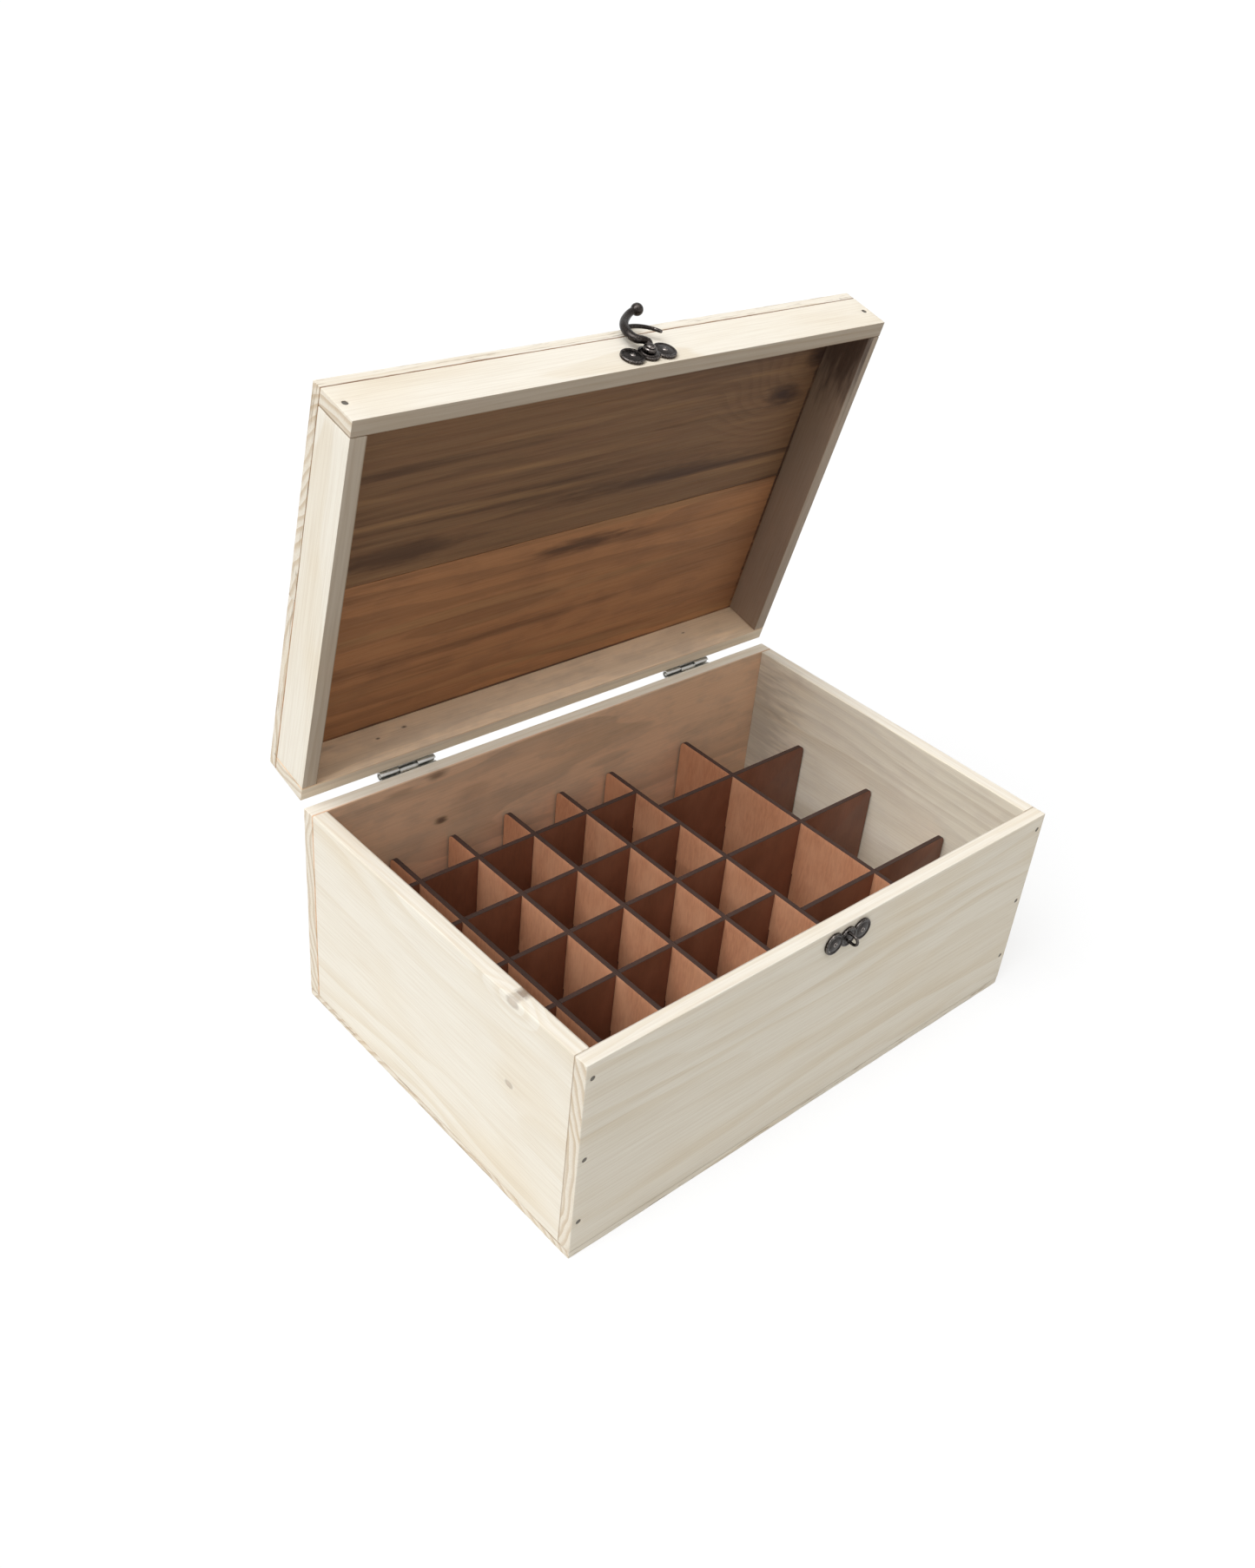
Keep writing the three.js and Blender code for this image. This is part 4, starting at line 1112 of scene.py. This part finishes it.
class ARTBOX_OT_hook(bpy.types.Operator):
    """The swinging hook on the lid, with its plate, rivet and pins"""

    bl_idname = "art_box.hook"
    bl_label = "Hook"

    def execute(self, context):
        cell = context.scene.art_box_sizes.cast_detail
        bronze = bpy.data.materials.get("antique_bronze_plating") or antique_bronze()
        place, parts = latch_plate("hook_plate", LID)
        parts.append(turned([(0, 0.5 * MM), (5.3 * MM, 0.5 * MM), (5.0 * MM, 1.8 * MM),
                             (4.5 * MM, 2.4 * MM), (0, 2.5 * MM)], 48))
        piece("hook_seat_plate", shaded(cast(parts, cell), 60), "lid", [bronze],
              ["hook_plate"], LID @ place)
        latch_pins(("hook_plate_pin_left", "hook_plate_pin_right"), "lid", LID, bronze)

        joint = JOINTS["hook_pivot"]
        latched = Matrix.Rotation(-math.radians(joint["range_deg"][1]), 4, "Y")
        place = Matrix.Translation(joint["pos_m"]) @ LID.to_3x3().to_4x4() @ latched
        piece("latch_hook", shaded(cast(self.hook_parts(), cell), 60), "hook",
              [bronze], ["hook"], place)

        low, high = span("hook_rivet", LID)
        head = (high.x - low.x) / 2
        seat = Vector(((low.x + high.x) / 2, low.y + 1.3 * MM, (low.z + high.z) / 2))
        depth = high.y - seat.y
        mesh = turned([(0, -depth), (MM, -depth), (MM, 0), (head, 0),
                       *dome(head, 1.3 * MM, 7, 0.1 * MM)], 32)
        piece("bronze_hook_rivet", shaded(moved(mesh, WOOD_FACE)), "lid", [bronze],
              ["hook_rivet"], LID @ Matrix.Translation(seat))
        return {"FINISHED"}

    @staticmethod
    def hook_parts():
        """The hook in its latched position on its pivot: eye, bowed neck with a ball, and the
        prong that slides through the staple along an arc about the pivot."""
        def at(angle, radius, height=HOOK_HEIGHT / MM):
            turn = math.radians(angle)
            return MM * Vector((-radius * math.sin(turn), -height, -radius * math.cos(turn)))

        neck = smooth_path([
            at(10, 2.2, 4.2), at(-5, 4.6, 4.9), at(-38, 6), at(-56, 8.2), at(-52, 12.6),
            at(-40, 18), at(-29, 22.5), at(-19, 26.6, 5.9), at(-11, 29.8, 6.8),
            at(-5, 31.5, 7.2)])
        last = len(neck) - 1
        thickness = [(1.6 + 0.8 * math.sin(math.pi * (i / last) ** 1.1)) * MM
                     for i in range(last + 1)]
        prong = smooth_path([at(-40 + 6.6 * i, PRONG_REACH) for i in range(11)])
        slimming = [PRONG - 0.25 * MM * i / (len(prong) - 1) for i in range(len(prong))]
        eye = turned([(0, 0), (3.3 * MM, 0), (3.6 * MM, 0.3 * MM), (3.6 * MM, 1.6 * MM),
                      (3.2 * MM, 2 * MM), (0, 2.1 * MM)], 40)
        moved(eye, Matrix.Translation((0, -EYE_BACK, 0)) @ WOOD_FACE)
        return [eye, tube(neck, thickness, 20), tube(prong, slimming, 16),
                ball(neck[-1], HOOK_BALL), ball(prong[-1], slimming[-1] * 1.02)]


class ARTBOX_OT_nails(bpy.types.Operator):
    """The nails at the corners of the case and the lid"""

    bl_idname = "art_box.nails"
    bl_label = "Nails"

    def execute(self, context):
        steel = plated_steel("nail_steel", context.scene.art_box_colours.nail, 0.4, 0.6)
        seats = head_seats("nail_front", "case") + head_seats("nail_back", "case")
        seats += head_seats("nail_lid", "lid", LID)
        for name, body, surface, outward, radius in seats:
            mesh = turned([(0, -22 * MM), (0.7 * MM, -21 * MM), (0.7 * MM, -0.6 * MM),
                           (radius * 0.97, -0.55 * MM), (radius, -0.45 * MM),
                           (radius, -0.12 * MM), (radius * 0.93, -0.02 * MM),
                           (radius * 0.75, -0.05 * MM), (0, -0.09 * MM)], 28)
            turn = outward.to_track_quat("Z", "Y").to_matrix().to_4x4()
            piece("brad_" + name, shaded(mesh), body, [steel], [name],
                  Matrix.Translation(surface) @ turn)
        return {"FINISHED"}


# ---------------------------------------------------------------------------------------------
# Stage


CAMERA_PLACE = (-0.50635, -0.47129, 0.61317)
CAMERA_TURN = (56.0125, -6.7029, -43.2317)  # degrees
CAMERA_LENS = 34.27
CAMERA_SHIFT = (-0.053, 0.0014)
FLOOR_REACH = 60
PAPER_GLOW = 0.72  # how much of the floor's look is plain white paper


def soft_lamp(name, direction, spread, strength, colour):
    """A soft lamp far away. Strength 1 lights a surface that faces it so that its colour shows
    as written."""
    data = bpy.data.lights.new(name, "SUN")
    data.angle = math.radians(spread)
    data.energy = strength * math.pi
    data.color = linear(colour)[:3]
    obj = bpy.data.objects.new(name, data)
    bpy.context.scene.collection.objects.link(obj)
    away = Vector(direction).normalized()
    obj.location = away * 2
    obj.rotation_euler = away.to_track_quat("Z", "Y").to_euler()


class ARTBOX_OT_stage(bpy.types.Operator):
    """Camera, lamps, world and floor"""

    bl_idname = "art_box.stage"
    bl_label = "Stage"

    def execute(self, context):
        scene = context.scene
        scene.view_settings.view_transform = "Standard"
        data = bpy.data.cameras.new("camera")
        data.lens = CAMERA_LENS
        data.shift_x, data.shift_y = CAMERA_SHIFT
        data.clip_start = 0.01
        camera = bpy.data.objects.new("camera", data)
        camera.location = CAMERA_PLACE
        camera.rotation_euler = [math.radians(angle) for angle in CAMERA_TURN]
        scene.collection.objects.link(camera)
        scene.camera = camera

        soft_lamp("key", (-0.62, -0.02, 0.77), 46, 0.79, "#f3f8ff")
        soft_lamp("top_front", (-0.1, -0.2, 0.97), 50, 0.25, "#ffffff")

        world = bpy.data.worlds.new("studio")
        scene.world = world
        world.use_nodes = True
        world.node_tree.nodes.clear()
        node = functools.partial(add, world.node_tree)
        ambient = node("Background", {"Color": linear("#fffbf4"), "Strength": 0.32})
        shown = node("Background", {"Color": (1, 1, 1, 1), "Strength": 1})
        both = node("MixShader", {0: self.seen(node), 1: ambient, 2: shown})
        node("OutputWorld", {"Surface": both})

        shape = bmesh.new()
        bmesh.ops.create_grid(shape, x_segments=1, y_segments=1, size=FLOOR_REACH)
        floor = bpy.data.objects.new("floor", mesh_of(shape))
        scene.collection.objects.link(floor)
        material, node = new_material("floor_paper")
        # Lit as grey card, so that little light comes back up, and seen as white paper
        seen = self.seen(node)
        paper = node("Mix", {0: seen, 6: linear("#d2d1cd"),
                             7: [*scene.art_box_colours.floor, 1]}, 2, **TINT)
        lit = node("BsdfDiffuse", {"Color": paper})
        glow = node("Emission", {"Color": (1, 1, 1, 1), "Strength": 1})
        whitened = node("Math", {0: seen, 1: PAPER_GLOW}, **TIMES)
        both = node("MixShader", {0: whitened, 1: lit, 2: glow})
        node("OutputMaterial", {"Surface": both})
        floor.data.materials.append(material)
        return {"FINISHED"}

    @staticmethod
    def seen(node):
        """1 for rays from the camera and for those reflected or passed on to it."""
        path = node("LightPath").node.outputs
        both = node("Math", {0: path["Is Camera Ray"], 1: path["Is Glossy Ray"]}, **LARGER)
        return node("Math", {0: both, 1: path["Is Transmission Ray"]}, **LARGER)


# ---------------------------------------------------------------------------------------------
# Add-on


OPERATORS = (
    ARTBOX_OT_case_boards,
    ARTBOX_OT_lid_boards,
    ARTBOX_OT_dividers,
    ARTBOX_OT_hinges,
    ARTBOX_OT_catch,
    ARTBOX_OT_hook,
    ARTBOX_OT_nails,
    ARTBOX_OT_stage,
)


class ARTBOX_PT_sidebar(bpy.types.Panel):
    """Lists the box's sizes, colours and pieces"""

    bl_label = "Art supply box"
    bl_idname = "ARTBOX_PT_sidebar"
    bl_space_type = "VIEW_3D"
    bl_region_type = "UI"
    bl_category = "Art box"

    def draw(self, context):
        for group in (context.scene.art_box_sizes, context.scene.art_box_colours):
            column = self.layout.column(align=True)
            for key in group.bl_rna.properties.keys():
                if key not in ("rna_type", "name"):
                    column.prop(group, key)
        for operator in OPERATORS:
            self.layout.operator(operator.bl_idname)


CLASSES = (BoxSizes, BoxColours, *OPERATORS, ARTBOX_PT_sidebar)


def register():
    for cls in CLASSES:
        bpy.utils.register_class(cls)
    bpy.types.Scene.art_box_sizes = PointerProperty(type=BoxSizes)
    bpy.types.Scene.art_box_colours = PointerProperty(type=BoxColours)


def unregister():
    del bpy.types.Scene.art_box_colours
    del bpy.types.Scene.art_box_sizes
    for cls in reversed(CLASSES):
        bpy.utils.unregister_class(cls)


def main():
    register()
    for operator in OPERATORS:
        getattr(bpy.ops.art_box, operator.bl_idname.split(".")[1])()


if __name__ == "__main__":
    main()
